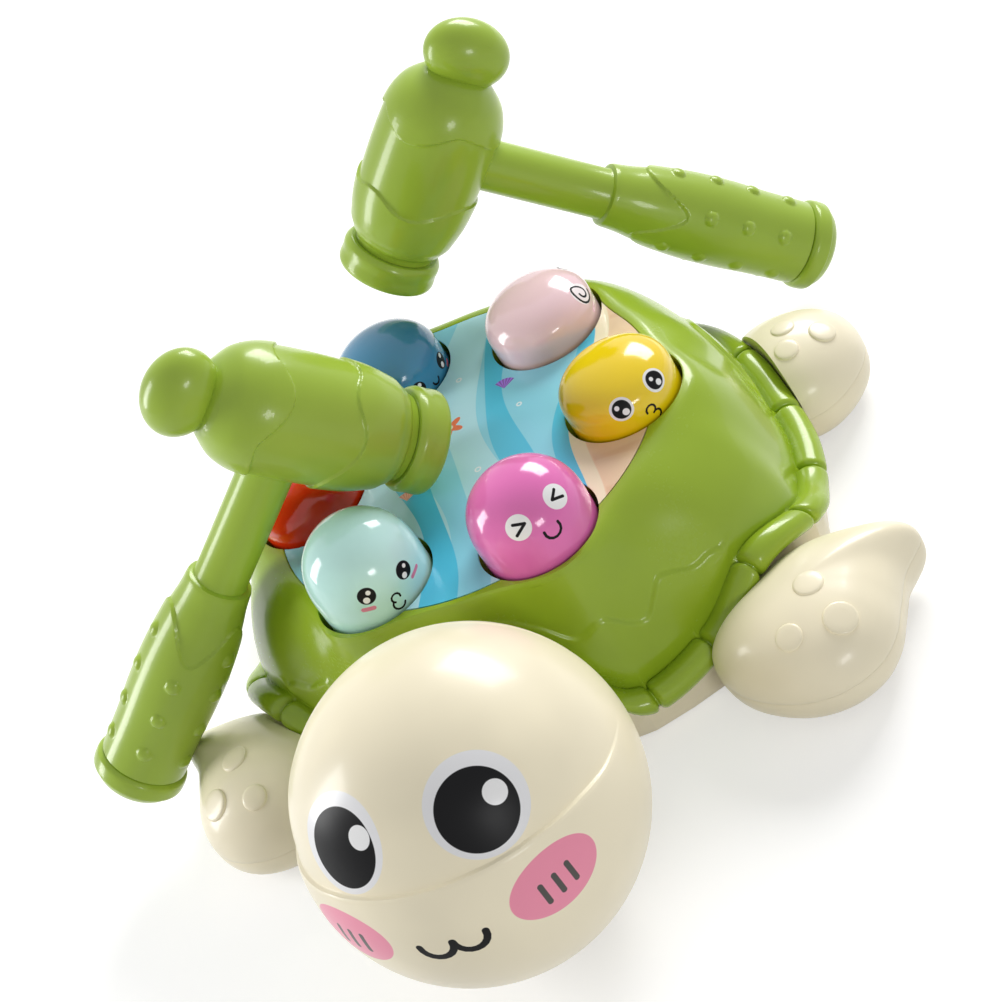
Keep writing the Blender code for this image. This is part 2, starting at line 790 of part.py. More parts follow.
def make_lower_case():
    sections = [case_section(place) for place in outline_places()]
    rings = [list(ring) for ring in zip(*sections)]
    case = add_part("lower_case", lofted_mesh("lower_case", rings), cream_plastic)
    joined = [upright_rod("post", post_radius, at, wall / 2, post_top) for at in both_sides(post_places)]
    boolean(case, "UNION", add_cutter("case_posts", gathered_mesh("case_posts", joined)))

    holes = []
    for at in both_sides(post_places):
        recess_top = wall + gap + screw_head_height + gap
        holes.append(upright_rod("recess", screw_head_radius + gap, at, -overrun, recess_top, small_segments))
        holes.append(upright_rod("bore", screw_hole_radius, at, wall, post_top + overrun, small_segments))
    low, high = door_opening()
    holes.append(box_mesh("door_opening", low, high))
    slot_half = (power_travel + power_knob_length) / 2 + gap
    slot_side = power_knob_width / 2 + gap
    holes.append(box_mesh("power_slot", (power_x - slot_half, power_y - slot_side, -overrun),
                          (power_x + slot_half, power_y + slot_side, wall + overrun)))
    for at in grille_places():
        holes.append(upright_rod("grille", grille_hole_radius, at, -overrun, wall + overrun, small_segments))
    holes.append(rod_mesh("neck_hole", neck_radius + gap, (0, head_y, neck_z), (0, -ring_radius, neck_z),
                          neck_segments))
    for side in (1, -1):
        for middle in (front_flipper_middle, rear_flipper_middle):
            start, end = flipper_peg_line(middle, side)
            beyond = (end - start).normalized() * overrun
            holes.append(rod_mesh("flipper_hole", flipper_peg_radius + gap, start, end + beyond))
    # Two cutters, so that the holes of each stay apart from one another
    boolean(case, "DIFFERENCE", add_cutter("case_holes", gathered_mesh("case_holes", holes[0::2])))
    boolean(case, "DIFFERENCE", add_cutter("case_more_holes", gathered_mesh("case_more_holes", holes[1::2])))


def grille_places():
    middle = Vector((0, speaker_y, 0))
    places = [middle]
    for turn, reach in ((0.0, grille_pitch), (0.5, grille_outer_share * grille_pitch)):
        for k in range(hole_count):
            places.append(middle + polar(2 * math.pi * (k + turn) / hole_count, reach, 0.0))
    return places


# Battery compartment

def bay_half_length():
    return cell_length / 2 + contact_room


def bay_half_width():
    return cell_count * cell_pitch / 2 + bay_side_play


def door_opening():
    half_x = bay_half_length() - door_ledge
    half_y = bay_half_width()
    return ((-half_x, bay_centre_y - half_y - door_tab, -overrun),
            (half_x, bay_centre_y + half_y, wall + overrun))


def bay_roof():
    return wall + gap + 2 * cell_radius + 2 * bay_roof_play


def make_battery_bay():
    half_x = bay_half_length()
    half_y = bay_half_width()
    low = wall + gap
    roof = bay_roof()
    outer = box_mesh("battery_bay", (-half_x - bay_wall, bay_centre_y - half_y - bay_wall, low),
                     (half_x + bay_wall, bay_centre_y + half_y + bay_wall, roof + bay_wall))
    bay = add_part("battery_bay", outer, inner_plastic)
    front = bay_centre_y - half_y - bay_wall
    lug = add_cutter("bay_lug", box_mesh("bay_lug", (-bay_lug_width / 2, front - door_tab + overrun, low),
                                         (bay_lug_width / 2, front + bay_wall / 2, low + bay_lug_height)))
    boolean(bay, "UNION", lug)
    hollow = box_mesh("hollow", (-half_x, bay_centre_y - half_y, low - overrun),
                      (half_x, bay_centre_y + half_y, roof))
    pilot = upright_rod("pilot", door_screw_radius + gap, Vector((0, door_screw_y(), 0)), low - overrun,
                        low + bay_lug_height - bay_wall, small_segments)
    boolean(bay, "DIFFERENCE", add_cutter("bay_hollow", gathered_mesh("bay_hollow", [hollow, pilot])))

    cell_height = low + bay_roof_play + cell_radius
    shoulder = cell_length / 2 - cell_tip_length
    profile = [(0, cell_length / 2), (cell_tip_radius, cell_length / 2), (cell_tip_radius, shoulder),
               (cell_radius, shoulder), (cell_radius, -cell_length / 2), (0, -cell_length / 2)]
    cell = turned_mesh("cell", profile, mole_segments)
    for k in range(cell_count):
        tint = material("cell wrap %d" % (k + 1), (0.10, 0.12, 0.16), 0.35, 0.3)
        battery = add_part("battery_%d" % (k + 1), cell.copy(), tint)
        across = (k - (cell_count - 1) / 2) * cell_pitch
        battery.location = (0, bay_centre_y + across, cell_height)
        battery.rotation_euler = (0, math.radians(90.0 if k % 2 == 0 else -90.0), 0)

    # One strip of steel at each end joins the cells, with a round nub for each
    half_span = (cell_count - 1) / 2 * cell_pitch + contact_size / 2
    for side, label in ((-1, "left"), (1, "right")):
        outer_x = side * (half_x - gap)
        inner_x = outer_x - side * contact_thickness
        low_x, high_x = min(outer_x, inner_x), max(outer_x, inner_x)
        strip = box_mesh("strip", (low_x, bay_centre_y - half_span, cell_height - contact_size / 2),
                         (high_x, bay_centre_y + half_span, cell_height + contact_size / 2))
        contact = add_part("battery_contact_" + label, strip, steel)
        nub_end = side * (cell_length / 2 + gap)
        nubs = []
        for k in range(cell_count):
            across = bay_centre_y + (k - (cell_count - 1) / 2) * cell_pitch
            nubs.append(rod_mesh("nub", cell_tip_radius, (nub_end, across, cell_height),
                                 ((inner_x + outer_x) / 2, across, cell_height)))
        boolean(contact, "UNION", add_cutter("nubs_" + label, gathered_mesh("nubs_" + label, nubs)))


def door_screw_y():
    return bay_centre_y - bay_half_width() - door_tab / 2 - bay_wall / 2


def make_battery_door():
    low, high = door_opening()
    slab = box_mesh("battery_door", (low[0] + gap, low[1] + gap, 0),
                    (high[0] - gap, high[1] - gap, door_thickness))
    door = add_part("battery_door", slab, cream_plastic)
    at = Vector((0, door_screw_y(), 0))
    recess_top = gap + door_screw_head_height + gap
    recess = upright_rod("recess", door_screw_head_radius + gap, at, -overrun, recess_top)
    bore = upright_rod("bore", door_screw_radius + gap, at, 0, door_thickness + overrun, small_segments)
    boolean(door, "DIFFERENCE", add_cutter("door_recess", recess))
    boolean(door, "DIFFERENCE", add_cutter("door_bore", bore))
    length = wall + gap + bay_lug_height - bay_wall - 3 * gap - door_screw_head_height
    mesh = screw_mesh(length, door_screw_radius, door_screw_head_radius, door_screw_head_height)
    screw = add_part("door_screw", mesh, steel)
    screw.location = at + Vector((0, 0, gap))


# Speaker

def make_speaker():
    profile = [(speaker_radius * out, speaker_height * up) for out, up in speaker_shares]
    speaker_steel = material("speaker steel", (0.3, 0.3, 0.32), 0.4, 0.7)
    speaker = add_part("speaker", turned_mesh("speaker", profile, hammer_segments), speaker_steel)
    speaker.location = (0, speaker_y, wall + gap)


# Power switch

def make_power_switch():
    plate_low = wall + gap
    plate_high = plate_low + power_plate_thickness
    body_low = plate_high + gap
    half_long = power_body_length / 2
    half_wide = power_body_width / 2
    body = box_mesh("power_switch", (power_x - half_long, power_y - half_wide, body_low),
                    (power_x + half_long, power_y + half_wide, body_low + power_body_height))
    add_part("power_switch", body, material("switch steel", (0.55, 0.55, 0.55), 0.4, 0.8))
    stem = box_mesh("power_knob", (-power_knob_length / 2, -power_knob_width / 2, power_knob_recess),
                    (power_knob_length / 2, power_knob_width / 2, plate_high - gap))
    knob = add_part("power_knob", stem, material("black knob", (0.03, 0.03, 0.03), 0.4))
    slab = box_mesh("knob_plate", (-power_plate_length / 2, -power_plate_width / 2, plate_low),
                    (power_plate_length / 2, power_plate_width / 2, plate_high))
    plate = add_cutter("knob_plate", slab)
    knob_place = (power_x - power_travel / 2, power_y, 0)
    plate.location = knob_place
    knob.location = knob_place
    boolean(knob, "UNION", plate)


# Wires

def add_lead(name, start, end, finish):
    # A slack wire that leaves both ends upright
    curve = bpy.data.curves.new(name, "CURVE")
    curve.dimensions = "3D"
    curve.bevel_depth = wire_radius
    curve.bevel_resolution = 1
    curve.use_fill_caps = True
    line = curve.splines.new("POLY")
    line.points.add(wire_steps)
    for k, point in enumerate(line.points):
        t = k / wire_steps
        across = 3 * t * t - 2 * t ** 3
        at = Vector(start).lerp(Vector(end), across)
        point.co = (at.x, at.y, start[2] + (end[2] - start[2]) * t, 1.0)
    curve.materials.append(finish)
    parts.objects.link(bpy.data.objects.new(name, curve))


def make_wires():
    under = board_low - gap - wire_radius
    bay_top = bay_roof() + bay_wall + gap + wire_radius
    speaker_top = wall + gap + speaker_height + gap + wire_radius
    add_lead("battery_lead", (0, bay_centre_y - cell_pitch, bay_top), (0, cell_pitch, under),
             material("red wire", (0.6, 0.03, 0.03), 0.4))
    add_lead("speaker_lead", (0, speaker_y, speaker_top), (0, -cell_pitch, under),
             material("black wire", (0.02, 0.02, 0.02), 0.4))


# Head and neck

def sphere_arc(radius, first_height, last_height, count):
    # Points on a sphere between two heights, top to bottom or the other way
    first = math.acos(max(-1.0, min(1.0, first_height / radius)))
    last = math.acos(max(-1.0, min(1.0, last_height / radius)))
    points = []
    for k in range(count):
        angle = first + (last - first) * k / (count - 1)
        points.append((max(radius * math.sin(angle), 0.0), radius * math.cos(angle)))
    return points


def snapped_to_axis(points):
    return [(0.0, height) if radius < merge_distance else (radius, height) for radius, height in points]


def make_head():
    # Local +Z looks out of the face
    inner = head_radius - wall
    front = sphere_arc(head_radius, head_radius, -head_split, head_rows)
    front += sphere_arc(inner, -head_split, inner, head_inner_rows)
    front_mesh = turned_mesh("head_front", snapped_to_axis(front), head_segments)
    face = add_part("head_front", front_mesh, cream_plastic)
    back = sphere_arc(inner, -inner, -head_split - gap, head_back_rows)
    back += sphere_arc(head_radius, -head_split - gap, -head_radius, head_back_rows)
    back_mesh = turned_mesh("head_back", snapped_to_axis(back), head_segments)
    cover = add_part("head_back", back_mesh, cream_plastic)
    for shell in (face, cover):
        shell.location = (0, head_y, head_z)
        shell.rotation_euler = (math.radians(90.0), 0, 0)

    # The neck is a hollow tube with a shoulder outside the case's wall
    wall_y = rim_at(0.0).y + case_inset
    behind = head_y + math.sqrt(inner ** 2 - (head_z - neck_z) ** 2) - neck_shoulder
    tail = wall_y + wall + neck_inner_reach
    neck = rod_mesh("neck", neck_radius, (0, behind, neck_z), (0, tail, neck_z), neck_segments)
    shoulder = rod_mesh("shoulder", neck_radius + neck_shoulder, (0, behind, neck_z),
                        (0, wall_y - neck_front_room, neck_z), neck_segments)
    bore = rod_mesh("bore", neck_radius - neck_wall, (0, behind - overrun, neck_z),
                    (0, tail + overrun, neck_z), neck_segments)
    boolean(cover, "UNION", add_cutter("neck_shoulder", shoulder))
    boolean(cover, "UNION", add_cutter("neck_tube", neck))
    boolean(cover, "DIFFERENCE", add_cutter("neck_bore", bore))

    profile = [(neck_radius + retainer_width, 0), (neck_radius + retainer_width, -retainer_thickness),
               (neck_radius + gap, -retainer_thickness), (neck_radius + gap, 0)]
    mesh = turned_mesh("neck_retainer", profile, neck_segments, closed=True)
    ring = add_part("neck_retainer", mesh, inner_plastic)
    ring.location = (0, wall_y + wall + 2 * gap + case_taper, neck_z)
    ring.rotation_euler = (math.radians(90.0), 0, 0)


# Flippers

def flipper_outline(middle, length, shares):
    points = [Vector((middle[0] + x * length, middle[1] + y * length, 0.0)) for x, y in shares]
    count = len(points)
    smooth = []
    for base in range(count):
        a, b, c, d = (points[(base + k) % count] for k in (-1, 0, 1, 2))
        smooth.append(b)
        t = 0.5
        smooth.append(0.5 * ((2 * b) + (c - a) * t + (2 * a - 5 * b + 4 * c - d) * t * t
                             + (3 * b - a - 3 * c + d) * t ** 3))
    return smooth


def domed_solid(name, outline, middle, seam, rise, inset, power):
    # A flat outline raised, or sunk where rise is negative, into a rounded pad
    centre = Vector((middle[0], middle[1], 0.0))
    rings = []
    for k in range(flipper_rings + 1):
        turn = math.pi / 2 * flipper_last_ring_share * k / flipper_rings
        share = math.cos(turn) ** (2 / power)
        height = math.sin(turn) ** (2 / power)
        ring = []
        for point in outline:
            arm = point - centre
            arm = arm * ((arm.length - inset) / arm.length * share)
            ring.append(centre + arm + Vector((0, 0, seam + rise * height)))
        rings.append(ring)
    tip = centre + Vector((0, 0, seam + rise))
    return lofted_mesh(name, rings, None, tip)


def case_keepout(name, spread):
    # The space of the case and the shell's rim, grown by the spread, which the flippers' roots keep out of
    rings = [[], [], [], []]
    for place in outline_places():
        rim = rim_at(place)
        angle = math.atan2(rim.y, rim.x)
        reach = math.hypot(rim.x, rim.y) + spread
        base = panel_height + rim.z - spread
        rings[0].append(polar(angle, reach - case_inset, -overrun))
        rings[1].append(polar(angle, reach - case_inset, base))
        rings[2].append(polar(angle, reach, base))
        rings[3].append(polar(angle, reach, panel_height))
    return add_cutter(name, lofted_mesh(name, rings))


def rim_reach(heading):
    # How far out the rim lies in one direction, seen from above
    samples = [rim_at(place) for place in outline_places()]
    nearest = min(samples, key=lambda p: abs(math.remainder(math.atan2(p.y, p.x) - heading, 2 * math.pi)))
    return math.hypot(nearest.x, nearest.y)


def flipper_peg_line(middle, side=1):
    # The peg points at the middle of the toy and passes through the case's wall
    heading = math.atan2(middle[1], middle[0])
    case_reach = rim_reach(heading) - case_inset
    near = polar(heading, case_reach - flipper_peg_length, flipper_peg_height)
    far = polar(heading, case_reach + gap + flipper_wall, flipper_peg_height)
    return tuple(Vector((side * p.x, p.y, p.z)) for p in (near, far))


def make_flipper(label, middle, length, shares, rise, near_case, near_case_wall):
    outline = flipper_outline(middle, length, shares)
    halves = {
        "top": (seam_height + gap / 2, rise, flipper_round_power),
        "bottom": (seam_height - gap / 2, flipper_floor_gap - seam_height, flipper_under_power),
    }
    for half, (seam, height, power) in halves.items():
        name = "flipper_%s_right_%s" % (label, half)
        piece = add_part(name, domed_solid(name, outline, middle, seam, height, 0.0, power), cream_plastic)
        sign = math.copysign(1.0, height)
        hollow_mesh = domed_solid("hollow", outline, middle, seam - sign * overrun,
                                  height - sign * (flipper_wall - overrun), flipper_wall, power)
        hollow = add_cutter(name + "_hollow", hollow_mesh)
        boolean(hollow, "DIFFERENCE", near_case_wall)
        boolean(piece, "DIFFERENCE", near_case)
        boolean(piece, "DIFFERENCE", hollow)
        if half == "bottom":
            start, end = flipper_peg_line(middle)
            peg = add_cutter(name + "_peg", rod_mesh("peg", flipper_peg_radius, start, end))
            boolean(piece, "UNION", peg)
        made = evaluated_mesh(piece)
        bpy.data.objects.remove(piece, do_unlink=True)
        add_part(name, made, cream_plastic)
        add_part(name.replace("right", "left"), mirrored_mesh(made, name + "_mirrored"), cream_plastic)


# Hammers

def hammer_matrix(hammer):
    # Local X runs down the handle, local Z towards the knob, from the crossing of the two axes
    heading, slope, roll = (math.radians(angle) for angle in hammer_angles[hammer])
    turned = Matrix.Rotation(heading, 4, "Z") @ Matrix.Rotation(-slope, 4, "Y")
    turned = turned @ Matrix.Rotation(roll, 4, "X")
    across, along = hammer_face_shares[hammer]
    face = Vector((across * ring_radius, along * ring_radius, panel_height + hammer_face_heights[hammer]))
    return Matrix.Translation(face + turned @ Vector((0, 0, hammer_half_length))) @ turned


def hammer_head_mesh():
    # Local Z runs up to the knob, with the handle's hole along local X
    foot = -hammer_half_length + strike_length + gap
    outer = [(0.0, hammer_half_length * hammer_top_share)]
    outer += [(hammer_body_radius * out, hammer_half_length * up) for up, out in reversed(hammer_body_shares)]
    outer.append((hammer_neck_radius, foot))
    inner = [(hammer_neck_radius - hammer_wall, foot)]
    inner += [(hammer_body_radius * out, hammer_half_length * up) for up, out in hammer_hollow_shares]
    inner.append((0.0, inner[-1][1]))
    blank = bpy.data.objects.new("head_blank", turned_mesh("hammer_head", outer + inner, hammer_segments))
    cutters.objects.link(blank)
    work = bmesh.new()
    bmesh.ops.create_uvsphere(work, u_segments=knob_segments, v_segments=knob_rows, radius=1.0)
    bmesh.ops.scale(work, vec=knob_half_sizes, verts=work.verts)
    bmesh.ops.translate(work, vec=(0, 0, hammer_half_length - knob_half_sizes[2]), verts=work.verts)
    knob = add_cutter("knob", mesh_from(work, "knob"))
    boolean(blank, "UNION", knob)
    hole = add_cutter("handle_hole", rod_mesh("handle_hole", shaft_radius + gap, (0, 0, 0),
                                              (hammer_body_radius + overrun, 0, 0), handle_segments))
    boolean(blank, "DIFFERENCE", hole)
    made = evaluated_mesh(blank)
    for extra in (blank, knob, hole):
        bpy.data.objects.remove(extra, do_unlink=True)
    return made


def strike_cap_mesh():
    low = -hammer_half_length
    high = low + strike_length
    spigot = hammer_neck_radius - hammer_wall - gap
    profile = [(0, high + spigot_length), (spigot, high + spigot_length), (spigot, high),
               (strike_radius - strike_round, high), (strike_radius, high - strike_round),
               (strike_radius, low + strike_round), (strike_radius - strike_round, low), (0, low)]
    return turned_mesh("strike_cap", profile, hammer_segments)


def handle_mesh():
    # Turned with the handle's end at the top, then laid along local X
    grip_length = handle_length - end_ring_length - grip_start
    grip = [(grip_radius * out, grip_start + grip_length * along) for along, out in reversed(grip_shares)]
    grip_end = grip[0][1] - gap
    bore_foot = grip_start + grip_length / 2
    profile = [(0, bore_foot), (handle_bore_radius, bore_foot), (handle_bore_radius, grip_end),
               (grip[0][0], grip_end)]
    profile += grip[1:]
    profile += [(shaft_radius, grip_start - gap), (shaft_radius, shaft_seat), (0, shaft_seat)]
    made = turned_mesh("handle", profile, handle_segments)
    made.transform(Matrix.Rotation(math.radians(90.0), 4, "Y"))
    return made


def end_cap_mesh():
    low = handle_length - end_ring_length
    spigot = handle_bore_radius - gap
    profile = [(0, handle_length)]
    profile += [(end_ring_radius * out, low + end_ring_length * up) for up, out in end_cap_shares]
    profile += [(end_ring_radius, low + strike_round), (end_ring_radius - strike_round, low), (spigot, low),
                (spigot, low - end_spigot_length), (0, low - end_spigot_length)]
    made = turned_mesh("end_cap", profile, handle_segments)
    made.transform(Matrix.Rotation(math.radians(90.0), 4, "Y"))
    return made


def make_hammers():
    pieces = {
        "head": hammer_head_mesh(), "strike_cap": strike_cap_mesh(),
        "handle": handle_mesh(), "end_cap": end_cap_mesh(),
    }
    for hammer in hammer_angles:
        axis = bpy.data.objects.new(hammer + "_axis", None)
        axis.matrix_world = hammer_matrix(hammer)
        parts.objects.link(axis)
        for label, mesh in pieces.items():
            piece = add_part("%s_%s" % (hammer, label), mesh.copy(), green_plastic)
            piece.parent = axis


make_upper_shell()
make_play_sheet()
make_moles()
make_springs()
make_guide_plate()
make_board()
make_case_screws()
make_lower_case()
make_battery_bay()
make_battery_door()
make_speaker()
make_power_switch()
make_wires()
make_head()
keepout = case_keepout("flipper_root", gap)
wall_keepout = case_keepout("flipper_root_wall", gap + flipper_wall)
make_flipper("front", front_flipper_middle, front_flipper_length, front_flipper_shares, front_flipper_rise,
             keepout, wall_keepout)
make_flipper("rear", rear_flipper_middle, rear_flipper_length, rear_flipper_shares, rear_flipper_rise,
             keepout, wall_keepout)
make_hammers()
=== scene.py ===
import json
import math
from math import atan2, cos, hypot, pi, radians, sin, sqrt, tau

import bmesh
import bpy
import numpy as np
from mathutils import Matrix, Vector


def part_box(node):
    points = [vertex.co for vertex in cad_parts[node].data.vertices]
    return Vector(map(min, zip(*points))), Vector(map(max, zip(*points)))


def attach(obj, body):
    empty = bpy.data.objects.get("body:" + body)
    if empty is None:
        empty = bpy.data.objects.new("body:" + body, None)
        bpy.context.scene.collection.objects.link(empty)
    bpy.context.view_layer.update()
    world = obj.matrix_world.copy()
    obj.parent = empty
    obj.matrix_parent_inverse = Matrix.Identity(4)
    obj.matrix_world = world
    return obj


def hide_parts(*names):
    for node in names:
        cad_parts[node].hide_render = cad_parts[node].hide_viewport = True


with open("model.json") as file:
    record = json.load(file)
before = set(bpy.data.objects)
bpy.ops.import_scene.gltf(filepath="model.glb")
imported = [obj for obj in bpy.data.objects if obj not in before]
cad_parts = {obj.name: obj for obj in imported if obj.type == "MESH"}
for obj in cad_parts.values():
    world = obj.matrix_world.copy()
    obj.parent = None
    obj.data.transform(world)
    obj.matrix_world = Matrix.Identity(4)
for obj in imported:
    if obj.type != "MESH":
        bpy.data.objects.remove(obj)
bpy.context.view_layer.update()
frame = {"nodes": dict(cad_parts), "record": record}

mm = 0.001
still = Matrix.Identity(4)
print("frame loaded,", len(frame["nodes"]), "solids")


# Shader maths as plain expressions

def operation(what, flip=False):
    return lambda self, other: self.join(what, other, flip)


class Wire:
    def __init__(self, paint, socket):
        self.paint = paint
        self.socket = socket
        self.wide = socket.type in {"VECTOR", "RGBA"}

    def join(self, what, other, flip=False):
        otherWide = getattr(other, "wide", isinstance(other, tuple))
        if self.wide and what == "MULTIPLY" and not otherWide:
            return self.paint.node("VectorMath", {"operation": "SCALE"}, {0: self, 3: other})
        kind = "VectorMath" if self.wide or otherWide else "Math"
        first, second = (other, self) if flip else (self, other)
        return self.paint.node(kind, {"operation": what}, {0: first, 1: second})

    def of(self, what):  # a function of this value alone
        return self.paint.node("Math", {"operation": what}, {0: self})

    def output(self, key):  # another output of the same node
        return Wire(self.paint, self.socket.node.outputs[key])

    def __abs__(self):
        return self.of("ABSOLUTE")

    __add__ = __radd__ = operation("ADD")
    __sub__ = operation("SUBTRACT")
    __rsub__ = operation("SUBTRACT", True)
    __mul__ = operation("MULTIPLY")
    __truediv__ = operation("DIVIDE")
    __pow__ = operation("POWER")
    __and__ = operation("MINIMUM")  # both masks
    __or__ = operation("MAXIMUM")  # either mask


class Paint:
    def __init__(self, name, kind="materials", shader="Principled BSDF"):
        self.made = getattr(bpy.data, kind).new(name)
        self.made.use_nodes = True
        self.tree = self.made.node_tree
        self.shader = self.tree.nodes[shader]
        self.own = Wire(self, self.shader.outputs[0])

    def node(self, kind, settings=None, sockets=None, out=0):
        made = self.tree.nodes.new("ShaderNode" + kind)
        for key, value in (settings or {}).items():
            setattr(made, key, value)
        for key, value in (sockets or {}).items():
            self.put(made.inputs[key], value)
        return Wire(self, made.outputs[out])

    def put(self, socket, value):
        if isinstance(value, Wire):
            self.tree.links.new(value.socket, socket)
        elif socket.type == "RGBA" and len(value) == 3:
            socket.default_value = (*value, 1.0)
        else:
            socket.default_value = value

    def set(self, **sockets):
        for key, value in sockets.items():
            self.put(self.shader.inputs[key.replace("_", " ")], value)

    def cover(self, kind, sockets):  # a last shader, over the piece's own
        self.put(self.tree.nodes["Material Output"].inputs["Surface"], self.node(kind, None, sockets))

    def spot(self):  # the piece's own coordinates, in millimetres
        return self.node("TexCoord", out=3) * 1000.0

    def parts(self, spot):  # its X, with Y as output 1
        return self.node("SeparateXYZ", None, {0: spot})

    def noise(self, spot, size, detail=2.0, rough=0.5):
        return self.node("TexNoise", None,
                         {"Vector": spot, "Scale": 1.0 / size, "Detail": detail, "Roughness": rough})

    def over(self, mask, under, top):
        return self.node("Mix", {"data_type": "RGBA"}, {0: mask, 6: under, 7: top}, out=2)

    def soft(self, value, low, high):
        return self.node("MapRange", {"interpolation_type": "SMOOTHSTEP"},
                         {"Value": value, "From Min": low, "From Max": high})

    def inside(self, far, radius, blur=0.12):  # 1 where far is less than radius
        return self.soft(far, radius + blur, radius - blur)

    def reach(self, spot, at):
        return self.node("VectorMath", {"operation": "DISTANCE"}, {0: spot, 1: at}, out=1)

    def dot(self, spot, way):
        return self.node("VectorMath", {"operation": "DOT_PRODUCT"}, {0: spot, 1: tuple(way)}, out=1)

    def stroke(self, spot, start, end):  # distance from a straight stroke
        run = Vector(end) - Vector(start)
        away = spot - tuple(Vector(start))
        share = self.node("Clamp", None, {"Value": self.dot(away, run) / run.length_squared})
        near = self.node("VectorMath", {"operation": "SCALE"}, {0: tuple(run), 3: share})
        return self.reach(away, near)

    def strokes(self, spot, lines, radius, blur):  # mask of bent lines
        mask = None
        for points in lines:
            for start, end in zip(points, points[1:]):
                here = self.inside(self.stroke(spot, start, end), radius, blur)
                mask = here if mask is None else mask | here
        return mask

    def bump(self, height, depth):
        return self.node("Bump", None, {"Height": height, "Distance": depth * mm, "Strength": 1.0})


def tint(*screen):  # screen colour to the shader's
    shares = [value / 255.0 for value in screen]
    return tuple(s / 12.92 if s <= 0.04045 else ((s + 0.055) / 1.055) ** 2.4 for s in shares)


def glow(colour, amount):  # the same colour, lighter or darker
    return tuple(min(1.0, c * amount) for c in colour)


black = tint(20, 20, 22)
white = tint(246, 246, 246)


class Marks:
    # Marks printed over a shade one by one, with a mask of the black ones
    def __init__(self, paint, spot, shade, at):
        self.paint, self.spot, self.shade, self.at = paint, spot, shade, at
        self.ink = 0.0

    def lay(self, mask, colour):
        self.shade = self.paint.over(mask, self.shade, colour)
        self.ink = mask | self.ink if colour == black else (1.0 - mask) & self.ink

    def disc(self, turn, height, radius, colour, blur=0.12):
        self.lay(self.paint.inside(self.paint.reach(self.spot, self.at(turn, height)), radius, blur), colour)


# Making pieces

def shown(name, data):  # an object of its own in the scene
    made = bpy.data.objects.new(name, data)
    bpy.context.scene.collection.objects.link(made)
    return made


def newPiece(name, points, faces, at=still, sharp=38.0):
    mesh = bpy.data.meshes.new(name)
    mesh.from_pydata([tuple(p) for p in points], [], faces)
    work = bmesh.new()
    work.from_mesh(mesh)
    bmesh.ops.recalc_face_normals(work, faces=work.faces)
    work.to_mesh(mesh)
    work.free()
    piece = shown(name, mesh)
    piece.matrix_world = at
    return smoothed(piece, sharp)


def smoothed(piece, sharp=38.0):
    piece.data.shade_smooth()
    piece.data.set_sharp_from_angle(angle=radians(sharp))
    return piece


def loftFaces(rows, count):
    return [(a + i, a + (i + 1) % count, a + count + (i + 1) % count, a + count + i)
            for a in range(0, (rows - 1) * count, count) for i in range(count)]


def loftPiece(name, rings, sharp=38.0):
    # Closed rings of equal count in millimetres, joined side by side, with a face over each end
    rings = np.asarray(rings, float) * mm
    rows, count = rings.shape[:2]
    ends = [tuple(range(count)), tuple(range((rows - 1) * count, rows * count))]
    return newPiece(name, rings.reshape(-1, 3), loftFaces(rows, count) + ends, sharp=sharp)


def polar(radius, turn, height):
    return (radius * cos(turn), radius * sin(turn), height)


def turnedPiece(name, profile, segments, at=still, bend=None):
    # Profile of (radius, height) in millimetres from axis to axis, outer side first; bend moves each point
    rings, points, faces = [], [], []
    for radius, height in profile:
        count = 1 if radius < 0.01 else segments
        rings.append([len(points) + k for k in range(count)])
        points += [polar(radius if count > 1 else 0.0, k * tau / segments, height) for k in range(count)]
    if bend:
        points = [bend(*p) for p in points]
    for one, two in zip(rings, rings[1:]):
        for i in range(segments):
            j = (i + 1) % segments
            corners = (one[i % len(one)], one[j % len(one)], two[j % len(two)], two[i % len(two)])
            corners = tuple(dict.fromkeys(corners))
            if len(corners) > 2:
                faces.append(corners)
    return newPiece(name, np.array(points) * mm, faces, at)


def baked(piece):  # modifiers applied
    bpy.context.view_layer.update()
    seen = piece.evaluated_get(bpy.context.evaluated_depsgraph_get())
    mesh = bpy.data.meshes.new_from_object(seen)
    piece.modifiers.clear()
    piece.data = mesh
    return piece


def cutWith(piece, tools, how="DIFFERENCE"):
    for tool in tools:
        step = piece.modifiers.new("cut", "BOOLEAN")
        step.operation = how
        step.solver = "EXACT"
        step.object = tool
    baked(piece)
    for tool in tools:
        bpy.data.objects.remove(tool, do_unlink=True)
    return piece


def joined(pieces):  # one object of several
    work = bmesh.new()
    for piece in pieces:
        mesh = piece.data.copy()
        mesh.transform(piece.matrix_world)
        work.from_mesh(mesh)
    for piece in pieces[1:]:
        bpy.data.objects.remove(piece, do_unlink=True)
    work.to_mesh(pieces[0].data)
    work.free()
    pieces[0].matrix_world = still
    return pieces[0]


def shift(x, y, z):
    return Matrix.Translation(Vector((x, y, z)) * mm)


def rotation(degrees, axis):
    return Matrix.Rotation(radians(degrees), 4, axis)


def tilt(way):  # turns the Z axis to a direction
    return Vector((0, 0, 1)).rotation_difference(way).to_matrix().to_4x4()


def rod(name, radius, start, end, segments):
    run = Vector(end) - Vector(start)
    profile = [(0, run.length), (radius, run.length), (radius, 0), (0, 0)]
    return turnedPiece(name, profile, segments, shift(*start) @ tilt(run))


def blend(a, b, c, d, t):  # a smooth curve from b to c
    return 0.5 * (2 * b + (c - a) * t + (2 * a - 5 * b + 4 * c - d) * t * t + (3 * b - a - 3 * c + d) * t ** 3)


